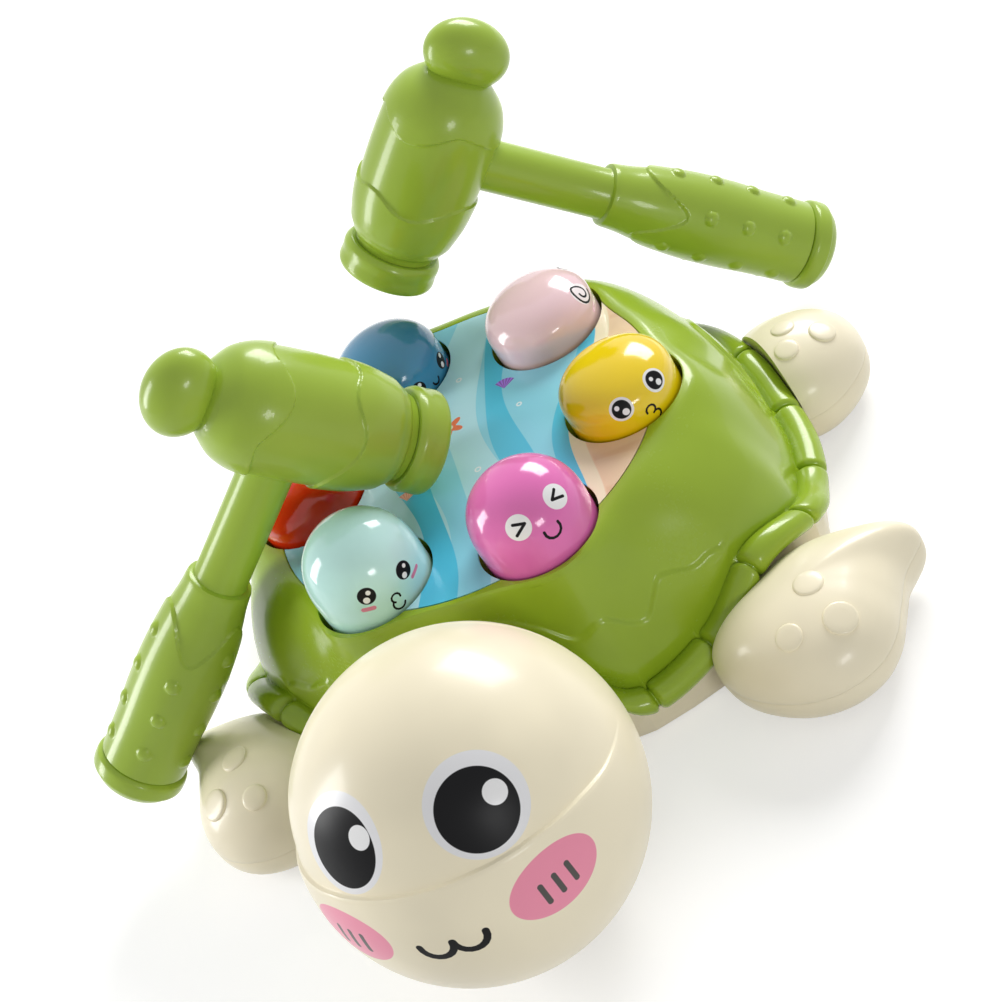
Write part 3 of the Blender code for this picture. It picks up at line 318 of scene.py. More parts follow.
def spline(points, steps, closed=False):
    # Points on a smooth curve through the given ones
    points = np.asarray(points, float)
    count = len(points)
    if not closed:
        points = np.vstack([2 * points[0] - points[1], points, 2 * points[-1] - points[-2]])
    made = []
    for base in range(count if closed else count - 1):
        four = [points[(base + k) % count] if closed else points[base + k + 1] for k in (-1, 0, 1, 2)]
        made += [blend(*four, t) for t in np.arange(steps) / steps]
    return np.array(made if closed else made + [points[-2]])


def nearest(points, heading):
    return min(points, key=lambda p: abs(math.remainder(atan2(p[1], p[0]) - heading, tau)))


def ease(value):
    value = min(max(value, 0.0), 1.0)
    return value * value * (3 - 2 * value)


def lineTable(knots):
    # A smooth line through (degrees, height) knots, mirrored at both ends, given for each whole degree
    places, heights = np.array(knots, float).T
    slopes = np.gradient(heights, places)
    slopes[0] = slopes[-1] = 0.0
    table = []
    for at in np.arange(places[0], places[-1] + 0.5):
        k = min(int(np.searchsorted(places, at, "right")) - 1, len(places) - 2)
        span = places[k + 1] - places[k]
        t = (at - places[k]) / span
        table.append(heights[k] * (1 + 2 * t) * (1 - t) ** 2 + slopes[k] * span * t * (1 - t) ** 2
                     + heights[k + 1] * t * t * (3 - 2 * t) - slopes[k + 1] * span * t * t * (1 - t))
    return table


def place(piece, body, nodes, paint, slot):
    # Gives a piece its finish, hands it to its body and hides what it stands for
    piece.data.materials.clear()
    piece.data.materials.append(paint.made)
    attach(piece, body)
    if nodes:
        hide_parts(*nodes)
    return piece


# Moulded plastic, with the faint unevenness of a pressed surface

def plastic(name, colour, rough=0.27, dimple=0.05, printed=None, coat=0.25, gloss=0.07):
    paint = Paint(name)
    spot = paint.spot()
    cloud = paint.noise(spot, 38.0)
    grain = paint.noise(spot, 1.4, 3.0)
    shade = paint.over(paint.soft(cloud, 0.35, 0.65), glow(colour, 0.965), glow(colour, 1.03))
    roughness = rough + (cloud - 0.5) * 0.07 + (grain - 0.5) * 0.05
    ink = None
    if printed:
        shade, ink = printed(paint, spot, shade)
    paint.set(Base_Color=shade, Roughness=roughness, Normal=paint.bump(cloud * 3.0 + grain * 0.12, dimple),
              Coat_Weight=coat, Coat_Roughness=gloss, IOR=1.5, Specular_IOR_Level=0.28)
    if ink:  # black ink shines less than the plastic under it
        dull = paint.node("BsdfPrincipled", None,
                          {"Base Color": black, "Roughness": 0.35, "Specular IOR Level": 0.12})
        paint.cover("MixShader", {0: ink, 1: paint.own, 2: dull})
    return paint


shellGreen = tint(150, 178, 40)
hammerGreen = tint(156, 184, 58)
cream = tint(249, 239, 210)
greenShell = plastic("shellPlastic", shellGreen, 0.26)
greenHammer = plastic("hammerPlastic", hammerGreen, 0.30)
creamCase = plastic("casePlastic", glow(cream, 0.97), 0.36, gloss=0.12)
creamFlipper = plastic("flipperPlastic", cream, 0.34, gloss=0.12)


# The shell

shellSizes = {
    "panel": 76.0, "halfWidth": 109.0, "rimDrop": 65.0, "ring": 58.0, "hole": 21.0, "holes": 6,
    "sheet": 0.6, "gap": 0.3, "wall": 2.4, "collarWall": 1.8, "collarDepth": 14.0, "ease": 0.25, "ledge": 4.4,
    "deck": 73.2, "deckShift": 1.3, "deckPad": 2.5, "edgeRound": 2.2, "roundMost": 0.14, "roundFade": 0.6,
    "flank": (22.0, 75.0), "print": 69.0, "printBack": 1.5, "printWave": 7.0, "neckRoom": 2.0,
    "beadOut": 5.6, "beadUp": 5.0, "beadFoot": 1.2, "beadStart": 132.0, "beadEnd": -82.0, "beadRows": 16,
    "columns": 12, "closest": 0.12, "slot": 0.35, "slotRound": 2.1, "slotShare": 0.62,
    "slotColumns": (0, 0.3, 0.4, 0.55, 0.8, 1.2, 1.8, 2.6), "plate": 1.15, "plateRun": 1.3, "plateLow": 0.93,
    "plateFade": 0.08, "plateFoot": 0.05,
}
# Where the rows of the shell's section lie: above, on and below the wavy step, and on the inner skin
rowShares = {
    "above": (0.02, 0.045, 0.08, 0.14, 0.22, 0.31, 0.41, 0.51, 0.61, 0.71, 0.81, 0.91, 1.0),
    "step": (-1, -0.65, -0.35, 0, 0.35, 0.65, 1), "below": (0.0, 0.14, 0.28, 0.42, 0.56, 0.68, 0.79, 0.88, 0.95),
    "inner": (1.0, 0.96, 0.88, 0.76, 0.62, 0.46, 0.3, 0.15),
}
rimShares = [
    (0.0, -0.734, 0.368), (0.212, -0.761, 0.56), (0.365, -0.757, 0.97), (0.633, -0.632, 0.909),
    (0.834, -0.482, 0.675), (0.978, -0.279, 0.794), (0.985, -0.105, 0.902), (0.967, 0.121, 0.911),
    (0.896, 0.344, 0.868), (0.798, 0.563, 0.822), (0.611, 0.823, 0.883), (0.33, 0.936, 0.877),
    (0.0, 0.963, 0.877),
]
slotPlaces = [1.1, 2.18, 2.92, 3.82, 4.84, 6.36, 7.66, 9.0, 10.2, 11.2, 12.0]
# The wavy step low on the shell: direction in degrees, how far down the flank it lies
plateKnots = [
    (-90, 0.78), (-79, 0.80), (-73, 0.82), (-67, 0.75), (-63, 0.675), (-60, 0.68), (-57, 0.77), (-53, 0.825),
    (-49, 0.765), (-46, 0.72), (-43, 0.76), (-39, 0.85), (-35, 0.89), (-31, 0.97), (-24, 1.0), (8, 1.0), (16, 0.97),
    (25, 0.88), (29, 0.78), (34, 0.72), (40, 0.76), (46, 0.85), (52, 0.86), (58, 0.77), (64, 0.71), (70, 0.76),
    (77, 0.84), (84, 0.82), (90, 0.78),
]
plateLine = lineTable(plateKnots)
rimScale = np.array([shellSizes["halfWidth"], shellSizes["halfWidth"], -shellSizes["rimDrop"]])
rimRight = [np.array(p) * rimScale for p in rimShares]
rimPoints = rimRight + [p * np.array([-1, 1, 1]) for p in reversed(rimRight[1:-1])]
slots = slotPlaces + [len(rimPoints) - at for at in slotPlaces if at < len(rimShares) - 1]
flankStart, flankEnd = (radians(a) for a in shellSizes["flank"])
moleTurns = {"mint": 240, "magenta": 300, "red": 180, "yellow": 0, "blue": 120, "pink": 60}
moleSpots = {name: polar(shellSizes["ring"], radians(a), 0)[:2] for name, a in moleTurns.items()}


def rimAt(at):
    base = math.floor(at)
    return blend(*(rimPoints[(base + k) % len(rimPoints)] for k in (-1, 0, 1, 2)), at - base)


def rimEdge(at):  # direction, reach and height of the rim
    rim = rimAt(at)
    return atan2(rim[1], rim[0]), hypot(rim[0], rim[1]), shellSizes["panel"] + rim[2]


def scallop(angle):
    return ((1 + cos(shellSizes["holes"] * angle)) / 2) ** 2


def deckEdge(angle):
    valley = shellSizes["deck"] + shellSizes["deckShift"] * sin(angle)
    return valley + (shellSizes["ring"] + shellSizes["hole"] + shellSizes["deckPad"] - valley) * scallop(angle)


def printEdge(angle):
    sizes = shellSizes
    behind = min(max(sin(angle) + 0.2, 0.0), 1.0)
    return sizes["print"] + behind * (sizes["printBack"] + sizes["printWave"] * scallop(angle))


def plateShare(angle):
    right = math.degrees(math.asin(sin(angle)))  # mirrored in the Y axis
    return float(np.interp(right + 90, range(len(plateLine)), plateLine))


def rimSpeed(at):  # millimetres for each step from one control point to the next
    step = 0.02
    return hypot(*(rimAt(at + step) - rimAt(at - step))[:2]) / (2 * step)


def rimColumns():
    sizes, count = shellSizes, len(rimPoints)
    found = {round(k / sizes["columns"], 4) for k in range(count * sizes["columns"])}
    for at in slots:
        speed = rimSpeed(at)
        found |= {round((at + side * k / speed) % count, 4) for k in sizes["slotColumns"] for side in (-1, 1)}
    kept = []
    for at in sorted(found):
        if not kept or at - kept[-1] > sizes["closest"] / rimSpeed(at):
            kept.append(at)
    return kept


def beadShare(at):  # how full the bead is, less beside each slot
    half = len(rimPoints) / 2
    far = min(abs((at - slot + half) % (2 * half) - half) for slot in slots) * rimSpeed(at)
    t = min(max((far - shellSizes["slot"]) / shellSizes["slotRound"], 0.0), 1.0)
    return shellSizes["slotShare"] + (1 - shellSizes["slotShare"]) * sqrt(1 - (1 - t) ** 2)


def flankTurn(share):  # the flank's lean at a share of its way out
    start, end = sin(flankStart), sin(flankEnd)
    return math.asin(min(start + max(share, 0.0) * (end - start), end))


def flankHeight(share, span, foot):
    # Height of the flank at a share of its way out, rounded where it leaves the deck
    sizes = shellSizes
    start, end = cos(flankStart), cos(flankEnd)
    blur = min(sizes["edgeRound"] / 2 / span, sizes["roundMost"]) * (1.0 - ease(share / sizes["roundFade"]))
    drop = 0.0
    for k in (-2, -1, 0, 1, 2):
        near = share + k * blur
        if near > 0:
            drop += (start - cos(flankTurn(near))) / (start - end) / 5
    return sizes["panel"] - (sizes["panel"] - foot) * drop


def flankLean(share, span, foot):
    # How far the flank falls for each share outward, and its outward direction
    step = 0.01
    share = min(max(share, step), 1 - step)
    fall = (flankHeight(share - step, span, foot) - flankHeight(share + step, span, foot)) / (2 * step)
    length = hypot(fall, span)
    return length, fall / length, span / length


def shellSection(at):
    sizes = shellSizes
    angle, reach, base = rimEdge(at)
    top = sizes["panel"]
    sunk = top - sizes["sheet"] - sizes["gap"]
    deck = deckEdge(angle)
    inner = printEdge(angle) + sizes["gap"]
    start = radians(sizes["beadStart"])
    wide = min(sizes["beadOut"], (reach - deck - sizes["neckRoom"]) / (1 - cos(start)))  # slimmer beside the neck
    tall = sizes["beadUp"]
    middle, centre = reach - wide, base + tall
    endOut, endUp = middle + wide * cos(start), centre + tall * sin(start)
    section = [(inner, sunk), (inner, top - sizes["ease"]), (inner + sizes["ease"], top)]
    line = plateShare(angle)
    step = min(line, sizes["plateLow"])
    plate = sizes["plate"] * ease((1.0 - line) / sizes["plateFade"])
    span = endOut - deck
    slope = sizes["plateRun"] / flankLean(step, span, endUp)[0]
    above, below = step - 1.5 * slope, step + 1.5 * slope
    shares = [-sizes["edgeRound"] / span * k / 3 for k in (3, 2, 1)] + [0.0]
    shares += [above * t for t in rowShares["above"]]
    shares += [step + slope * k for k in rowShares["step"]]
    shares += [below + (1.0 - below) * t for t in rowShares["below"]]
    for share in shares:
        proud = plate * ease((share - step + slope) / (2 * slope)) * ease((1.0 - share) / sizes["plateFoot"])
        _, out, up = flankLean(share, span, endUp)
        section.append((deck + span * share + proud * out, flankHeight(share, span, endUp) + proud * up))
    size = beadShare(at)
    for k in range(sizes["beadRows"] + 1):
        turn = radians(sizes["beadStart"] + (sizes["beadEnd"] - sizes["beadStart"]) * k / sizes["beadRows"])
        section.append((middle + wide * size * cos(turn), centre + tall * size * sin(turn)))
    section += [(middle, centre - tall * size), (endOut - sizes["beadFoot"], base + 0.1)]
    for share in rowShares["inner"]:
        _, out, up = flankLean(share, span, endUp)
        height = min(flankHeight(share, span, endUp) - sizes["wall"] * up, sunk - sizes["wall"])
        section.append((deck + span * share - sizes["wall"] * out, height))
    section.append((deck - sizes["wall"], sunk - sizes["wall"]))
    return [polar(radius, angle, height) for radius, height in section]


def moleRods(name, radius, low, high, segments):
    return [joined([rod(name, radius, (x, y, low), (x, y, high), segments) for x, y in moleSpots.values()])]


def buildShell():
    sizes = shellSizes
    shell = loftPiece("upperShellSkin", np.array([shellSection(at) for at in rimColumns()]).transpose(1, 0, 2))
    low = sizes["panel"] - sizes["collarDepth"]
    deck = sizes["panel"] - sizes["sheet"] - sizes["gap"] - sizes["wall"] / 2
    cutWith(shell, moleRods("collar", sizes["hole"] + sizes["collarWall"], low, deck, 72), "UNION")
    cutWith(shell, moleRods("hole", sizes["hole"], low - 2, sizes["panel"] + 2, 96))
    smoothed(shell, 32.0)
    place(shell, "base", ["upper_shell"], greenShell, "green_plastic")


buildShell()
print("shell made")


# The play sheet, with a printed shore of its own

sheetLooks = {
    "sea": tint(146, 220, 242), "deep": tint(84, 200, 234), "shallow": tint(186, 234, 246),
    "sand": tint(236, 208, 172), "damp": tint(224, 188, 150), "foam": tint(244, 236, 202),
    "bubble": (0.95, 0.98, 1.0), "star": tint(238, 112, 50), "gold": tint(250, 190, 60),
    "violet": tint(140, 98, 190), "coral": tint(246, 150, 120),
    "bands": [(-40.0, 26.0, "shallow"), (-24.0, 11.0, "deep"), (-2.0, 15.0, "shallow"), (15.0, 9.0, "deep")],
    "stars": [(-6.0, 14.0, 6.2, 0.4, "star"), (24.0, 40.0, 4.2, 1.1, "gold")],
    "bubbles": [(-16, 30, 1.4), (-12, 35, 0.9), (6, -12, 1.2), (10, -17, 0.8), (-30, 4, 1.3), (20, 14, 1.0),
                (-4, 38, 1.1), (-22, -6, 0.8)],
    "shells": [(14.0, 27.0, 3.4, "violet"), (-20.0, -14.0, 3.0, "coral")],
    "shore": [(37.0, 0.3, "deep"), (43.0, 0.3, "foam"), (48.0, 0.5, "sand")],
    # How far the bands, their edges and the shore wander: pitch along the sheet, start, distance
    "waveSway": (0.042, 0.6, 7.0), "lean": 0.12, "edgePitch": 0.085, "edgeSway": 1.6, "rightEdge": -0.7, "crisp": 0.3,
    "shoreSway": (0.07, 2.0, 4.5), "arms": 5.0, "armReach": 0.24, "starBody": 0.62, "starDot": 0.2,
    "bubbleLine": 0.28, "hinge": 0.6, "fanReach": 1.5, "fanHalf": 0.8, "ribs": 22.0,
    "streakGrain": (0.16, 1.0, 0.0), "streakSize": 10.0, "streakShare": 0.7,
}


def sheetPrint(paint, spot, shade):
    looks = sheetLooks
    top = shellSizes["panel"]
    over = paint.parts(spot)
    along = over.output(1)

    def sway(pitch, start, far):
        return (along * pitch + start).of("SINE") * far

    wave = over + sway(*looks["waveSway"]) + along * looks["lean"]
    colour = looks["sea"]
    for left, width, name in looks["bands"]:
        edge = sway(looks["edgePitch"], left, looks["edgeSway"])
        right = paint.soft(wave + edge * looks["rightEdge"], left + width + looks["crisp"], left + width)
        colour = paint.over(paint.soft(wave + edge, left, left + looks["crisp"]) & right, colour, looks[name])
    for x, y, size, turn, name in looks["stars"]:
        aim = paint.parts(spot - (x, y, top))
        arms = ((aim.output(1).join("ARCTAN2", aim) + turn) * looks["arms"]).of("COSINE")
        reach = paint.reach(spot, (x, y, top))
        star = paint.inside(reach - arms * size * looks["armReach"], size * looks["starBody"], 0.15)
        colour = paint.over(star, colour, looks[name])
        colour = paint.over(paint.inside(reach, size * looks["starDot"], 0.15), colour, looks["foam"])
    for x, y, size in looks["bubbles"]:
        ring = paint.inside(abs(paint.reach(spot, (float(x), float(y), top)) - size * 0.8), looks["bubbleLine"])
        colour = paint.over(ring * 0.85, colour, looks["bubble"])
    for x, y, size, name in looks["shells"]:
        hinge = (x, y - size * looks["hinge"], top)
        aim = paint.parts(spot - hinge)
        angle = aim.join("ARCTAN2", aim.output(1))
        fan = paint.inside(paint.reach(spot, hinge), size * looks["fanReach"], 0.15) \
            & paint.inside(abs(angle), looks["fanHalf"], 0.04)
        ribs = paint.soft((angle * looks["ribs"]).of("COSINE"), -0.2, 0.2)
        colour = paint.over(fan, colour, paint.over(ribs, looks[name], glow(looks[name], 1.7)))
    shore = over + sway(*looks["shoreSway"])
    for start, blur, name in looks["shore"]:
        colour = paint.over(paint.soft(shore, start, start + blur), colour, looks[name])
    streak = paint.noise(spot * looks["streakGrain"], looks["streakSize"])
    damp = paint.soft(streak, 0.5, 0.62) * paint.soft(shore, 48.5, 49.0) * looks["streakShare"]
    return paint.over(damp, colour, looks["damp"]), None


def buildSheet():
    top = shellSizes["panel"]
    low = top - shellSizes["sheet"]
    turns = [tau * k / 360 for k in range(360)]
    sheet = loftPiece("playSheetPrint", [[polar(printEdge(a), a, z) for a in turns] for z in (low, top)], 30.0)
    cutWith(sheet, moleRods("hole", shellSizes["hole"], low - 2, low + 4, 96))
    smoothed(sheet, 30.0)
    paint = plastic("playSheetInk", sheetLooks["sea"], 0.3, 0.02, sheetPrint)
    place(sheet, "base", ["play_sheet"], paint, "printed_sheet")


buildSheet()
print("play sheet made")


# The six moles

moleSizes = {
    "radius": 19.6, "shoulder": 5.5, "power": 2.25, "wall": 2.0, "flangeTop": -14.3, "flange": 2.0,
    "flangeReach": 22.3, "seat": 7.5, "seatDrop": 12.0, "stem": 2.6, "stemDrop": 25.0, "waist": -8.0,
    "rise": {"mint": 27.0, "magenta": 25.0, "red": 19.5, "yellow": 16.5, "blue": 20.0, "pink": 17.0},
    "colour": {
        "mint": tint(196, 240, 234), "magenta": tint(230, 112, 184), "red": tint(230, 52, 18),
        "yellow": tint(246, 212, 12), "blue": tint(60, 138, 180), "pink": tint(240, 206, 212),
    },
}


def moleRadius(rise, height):
    sizes = moleSizes
    if height <= sizes["shoulder"]:
        return sizes["radius"]
    up = (height - sizes["shoulder"]) / (rise - sizes["shoulder"])
    return sizes["radius"] * (1 - min(up, 1.0) ** sizes["power"]) ** (1 / sizes["power"])


# On each cap by degrees round it and height: discs (turn, height, radius, colour), curls (turn, height, radius,
# growth, start, end, width) and lines (points, width, colour)
blush, warmBlush = tint(226, 128, 158), tint(226, 120, 150)
# The near-white colour laid as a disc under each spiral eye of the pink cap is a painted highlight
roseBlush, paintedHighlight = tint(244, 190, 216), tint(248, 238, 240)
moleFaces = {
    "mint": (
        [(-31.0, 9.9, 3.0, black), (-74.7, 11.5, 3.0, black), (-27.8, 10.8, 0.75, white),
         (-33.5, 8.5, 1.05, white), (-71.8, 12.3, 0.85, white), (-76.8, 10.2, 1.15, white)],
        [(-53.3, 4.9, 1.6, 0, -20, 235, 0.65), (-53.5, 2.5, 2.1, 0, 135, 335, 0.65)],
        [([(-16.5, 6.1), (-27.7, 5.5)], 1.35, blush), ([(-84.5, 7.4), (-75.0, 6.6)], 1.6, blush)]),
    "magenta": (
        [(-28.3, 17.2, 4.15, white), (-82.2, 17.1, 4.15, white)],
        [(-54.4, 11.5, 2.85, 0, 165, 375, 0.9)],
        [([(-22.5, 18.4), (-34.6, 17.4), (-22.9, 15.5)], 0.95, black),
         ([(-87.2, 18.2), (-74.2, 17.4), (-86.9, 15.2)], 0.95, black)]),
    "red": (
        [(93.0, 9.8, 3.6, white), (93.0, 9.4, 2.7, black), (95.6, 10.6, 0.9, white),
         (137.0, 9.8, 3.6, white), (137.0, 9.4, 2.7, black), (139.6, 10.6, 0.9, white)],
        [(115.0, 5.6, 2.4, 0, 180, 360, 0.9)], []),
    "yellow": (
        [(-33.4, 9.8, 4.0, white), (-33.4, 9.8, 3.1, black), (-78.6, 9.2, 4.0, white),
         (-78.6, 9.2, 3.1, black), (-35.6, 10.7, 0.75, white), (-31.9, 8.5, 1.1, white),
         (-82.4, 10.0, 0.85, white), (-75.6, 8.0, 1.2, white)],
        [(-54.6, 3.5, 1.7, 0, 195, -75, 0.7), (-50.8, 0.7, 1.45, 0, 125, -65, 0.7)], []),
    "blue": (
        [(-8.3, 3.8, 3.0, black), (-52.6, 4.2, 3.0, black), (-5.0, 5.1, 0.95, white),
         (-9.8, 2.3, 1.1, white), (-49.2, 5.5, 0.8, white), (-54.1, 2.9, 1.05, white)],
        [(-30.5, 1.8, 1.6, 0, 180, 360, 0.7)],
        [([(4.6, -0.1), (-2.0, -0.6)], 1.3, warmBlush), ([(-65.0, 0.9), (-57.0, 0.2)], 1.3, warmBlush)]),
    "pink": (
        # The near-white discs under the spiral eyes are painted highlight
        [(-8.2, 10.2, 4.3, paintedHighlight), (46.0, 10.2, 4.3, paintedHighlight)],
        [(-8.2, 10.3, 1.15, 3, 160, 690, 0.75), (46.0, 10.3, 1.15, 3, 20, -510, 0.75),
         (15.0, 4.6, 1.8, 0, 180, 360, 0.8)],
        [([(-4.5, 3.6), (-10.9, 2.6)], 1.7, roseBlush), ([(42.0, 3.6), (48.4, 2.6)], 1.7, roseBlush)]),
}


def moleFace(name):
    rise = moleSizes["rise"][name]
    discs, curls, lines = moleFaces[name]

    def on(turn, height):
        return polar(moleRadius(rise, height), radians(turn), height)

    def curl(turn, height, radius, growth, start, end):
        perMm = 180 / pi / moleRadius(rise, height)
        steps = 26 if growth else 8
        points = []
        for k in range(steps + 1):
            a = radians(start + (end - start) * k / steps)
            reach = radius + growth * k / steps
            points.append((turn + reach * cos(a) * perMm, height + reach * sin(a)))
        return points

    def face(paint, spot, shade):
        marks = Marks(paint, spot, shade, on)
        for disc in discs:
            marks.disc(*disc)
        for points, width, colour in [(curl(*c[:6]), c[6], black) for c in curls] + lines:
            marks.lay(paint.strokes(spot, [[on(*p) for p in points]], width / 2, 0.09), colour)
        return marks.shade, marks.ink
    return face


def buildMole(name, x, y):
    sizes = moleSizes
    radius, wall, shoulder, power = (sizes[key] for key in ("radius", "wall", "shoulder", "power"))
    top, seat, stem = sizes["flangeTop"], sizes["seat"], sizes["stem"]
    drop, end = -sizes["seatDrop"], -sizes["stemDrop"]
    rise = sizes["rise"][name]
    profile = []
    for k in range(31):
        turn = pi / 2 * k / 30
        profile.append((radius * sin(turn) ** (2 / power), shoulder + (rise - shoulder) * cos(turn) ** (2 / power)))
    low, inner, roof = top - sizes["flange"], radius - wall, rise - wall
    profile += [(radius, 0.0), (radius, sizes["waist"]), (radius, top), (sizes["flangeReach"], top),
                (sizes["flangeReach"], low), (inner, low), (inner, shoulder),
                (inner * 0.8, shoulder + 0.62 * (roof - shoulder)), (seat, roof - wall / 2), (seat, drop),
                (stem, drop), (stem, end + 0.5), (stem - 0.5, end), (0.0, end)]
    mole = turnedPiece(name + "MoleCap", profile, 96, shift(x, y, shellSizes["panel"]))
    paint = plastic(name + "MolePlastic", sizes["colour"][name], 0.16, 0.03, moleFace(name), 0.5)
    place(mole, name + "_head", [name + "_mole"], paint, name + "_plastic")


for name, (x, y) in moleSpots.items():
    buildMole(name, x, y)
print("moles made")


# The turtle's head

headSizes = {
    "radius": 53.6, "centre": (0.0, -135.3, 56.2), "split": 33.0, "wall": 2.4, "gap": 0.3,
    "neck": 11.0, "neckUp": 31.0, "neckWall": 2.2, "shoulder": 3.0, "sleeve": 2.2,
    "crease": [(0, 24.8), (15, 24.5), (27, 23.5), (40, 22.0), (60, 18.0), (75, 14.0), (110, 8.0)],
    "inset": 1.5, "insetRun": 27.0, "creaseFade": (62.0, 100.0), "lip": 0.35, "lipRun": 1.6, "joint": 0.8,
    "jointRound": 0.35,
    "across": 300, "rows": [(-90, -2.2, 62), (-1.9, 3.0, 22), (3.5, 30, 38), (31, 90, 50)],
}
# Places on the head by degrees round it and up it
headLooks = {
    "cheek": (37.3, 6.4), "cheekHalf": (15.0, 10.0), "cheekColour": tint(246, 150, 176),
    "hatch": (5.3, 1.6, 8.4, 0.9), "hatchColour": tint(72, 70, 66),
    "eyes": [(32.4, 40.6, 15.2, tint(240, 240, 242)), (31.3, 39.4, 12.1, black)],
    "glints": [(41.0, 40.0, 3.7), (-21.0, 43.9, 3.7)], "mouth": (5.2, 5.0, 5.1, 1.1),
}


def creaseHeight(turn):
    line = headSizes["crease"]
    turn = min(abs(turn), line[-1][0])
    for (a, low), (b, high) in zip(line, line[1:]):
        if turn <= b:
            return low + (high - low) * (turn - a) / (b - a)
    return line[-1][1]


def headReach(turn, up):
    # The head's radius in one direction: a shallow hollow above the crease over the muzzle
    sizes = headSizes
    above = up - creaseHeight(turn)
    strength = 1 - ease((abs(turn) - sizes["creaseFade"][0]) / (sizes["creaseFade"][1] - sizes["creaseFade"][0]))
    if above <= 0:
        return sizes["radius"] - sizes["lip"] * strength * max(0.0, 1 + above / sizes["lipRun"]) ** 2
    hollow = sizes["inset"] * (1 - ease((above - 1.2) / sizes["insetRun"])) * ease(above / 1.1 + 0.35)
    return sizes["radius"] - strength * max(hollow, sizes["lip"] * max(0.0, 1 - above / 1.0))


def headPoint(turn, up, radius=headSizes["radius"]):
    a, e = radians(turn), radians(up)
    return (radius * cos(e) * sin(a), -radius * cos(e) * cos(a), radius * sin(e))


def headPrint(paint, spot, shade):
    looks = headLooks
    marks = Marks(paint, spot, shade, headPoint)
    turn, up = looks["cheek"]
    pitch, low, high, thick = looks["hatch"]
    for side in (-1, 1):
        cheek = headPoint(side * turn, up)
        away = spot - cheek
        over = paint.dot(away, (cos(radians(turn)), side * sin(radians(turn)), 0.0)) / looks["cheekHalf"][0]
        lift = paint.dot(away, (0.0, 0.0, 1.0)) / looks["cheekHalf"][1]
        front = paint.soft(paint.dot(away, cheek), -900.0, -880.0)
        marks.lay(paint.inside(lift ** 2.0 + over ** 2.0, 1.0, 0.015) * front, looks["cheekColour"])
        hatch = [[headPoint(side * turn + k * pitch, height) for height in (low, high)] for k in (-1, 0, 1)]
        marks.lay(paint.strokes(spot, hatch, thick, 0.12), looks["hatchColour"])
        for at, height, size, colour in looks["eyes"]:
            marks.disc(side * at, height, size, colour, 0.15)
    for glint in looks["glints"]:
        marks.disc(*glint, white, 0.15)
    across, height, bow, thick = looks["mouth"]
    bows = [[], []]
    for points, side in zip(bows, (-1, 1)):
        for k in range(11):
            a = radians(180 + 180 * k / 10)
            x, z = side * across + bow * cos(a), height + bow * sin(a)
            points.append((x, -sqrt(headSizes["radius"] ** 2 - x * x - z * z), z))
    marks.lay(paint.strokes(spot, bows, thick, 0.1), black)
    return marks.shade, marks.ink


def headShell(name, keepFront):
    sizes = headSizes
    across = sizes["across"]
    # Rows follow the crease, so that its edge stays crisp: in each column nought lies on it
    ups = np.concatenate([np.linspace(*span) for span in sizes["rows"]])[1:-1]
    points = []
    for up in ups:
        for i in range(across):
            turn = -180 + 360 * i / across
            crease = creaseHeight(turn)
            real = crease + up * ((90 - crease) / 90 if up > 0 else (90 + crease) / 90)
            points.append(headPoint(turn, real, headReach(turn, real)))
    faces = loftFaces(len(ups), across)
    bottom = len(points)
    points += [(0, 0, -sizes["radius"]), (0, 0, sizes["radius"])]
    for i in range(across):
        j = (i + 1) % across
        faces += [(j, i, bottom), (bottom - across + i, bottom - across + j, bottom + 1)]
    head = newPiece(name, np.array(points) * mm, faces, shift(*sizes["centre"]))
    work = bmesh.new()
    work.from_mesh(head.data)
    side = 1 if keepFront else -1
    edge = (sizes["split"] - side * sizes["gap"] / 2) * mm
    bmesh.ops.bisect_plane(work, geom=work.verts[:] + work.edges[:] + work.faces[:], plane_co=(0, edge, 0),
                           plane_no=(0, side, 0), clear_outer=True, dist=1e-6)
    # A small round along the joint
    for v in work.verts:
        near = 1 - min(abs(v.co.y - edge) / (sizes["joint"] * mm), 1.0)
        flat = Vector((v.co.x, 0, v.co.z))
        if near > 0 and flat.length > 0:
            v.co -= flat.normalized() * sizes["jointRound"] * mm * near ** 2
    work.to_mesh(head.data)
    work.free()
    wall = head.modifiers.new("wall", "SOLIDIFY")
    wall.thickness = sizes["wall"] * mm
    wall.offset = -1.0
    return smoothed(baked(head), 40.0)


def buildHead():
    sizes = headSizes
    facePaint = plastic("headPlastic", cream, 0.34, 0.04, headPrint, 0.22, 0.14)
    place(headShell("headFace", True), "base", ["head_front"], facePaint, "cream_plastic")
    back = joined([headShell("headCover", False)])
    drop = sizes["centre"][2] - sizes["neckUp"]
    start = sizes["centre"][1] + sqrt((sizes["radius"] - sizes["wall"]) ** 2 - drop ** 2) - sizes["shoulder"]
    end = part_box("head_back")[1].y / mm
    stop = rimAt(0.0)[1] + shellSizes["ledge"] - sizes["sleeve"]

    def along(name, radius, low, high):
        return joined([rod(name, radius, (0, low, sizes["neckUp"]), (0, high, sizes["neckUp"]), 72)])

    sleeve = along("neckSleeve", sizes["neck"] + sizes["shoulder"], start, stop)
    cutWith(back, [sleeve, along("neckTube", sizes["neck"], start, end)], "UNION")
    cutWith(back, [along("neckBore", sizes["neck"] - sizes["neckWall"], start - 2, end + 2)])
    smoothed(back, 40.0)
    place(back, "base", ["head_back"], creamCase, "cream_plastic")


buildHead()
print("head made")


# Flippers

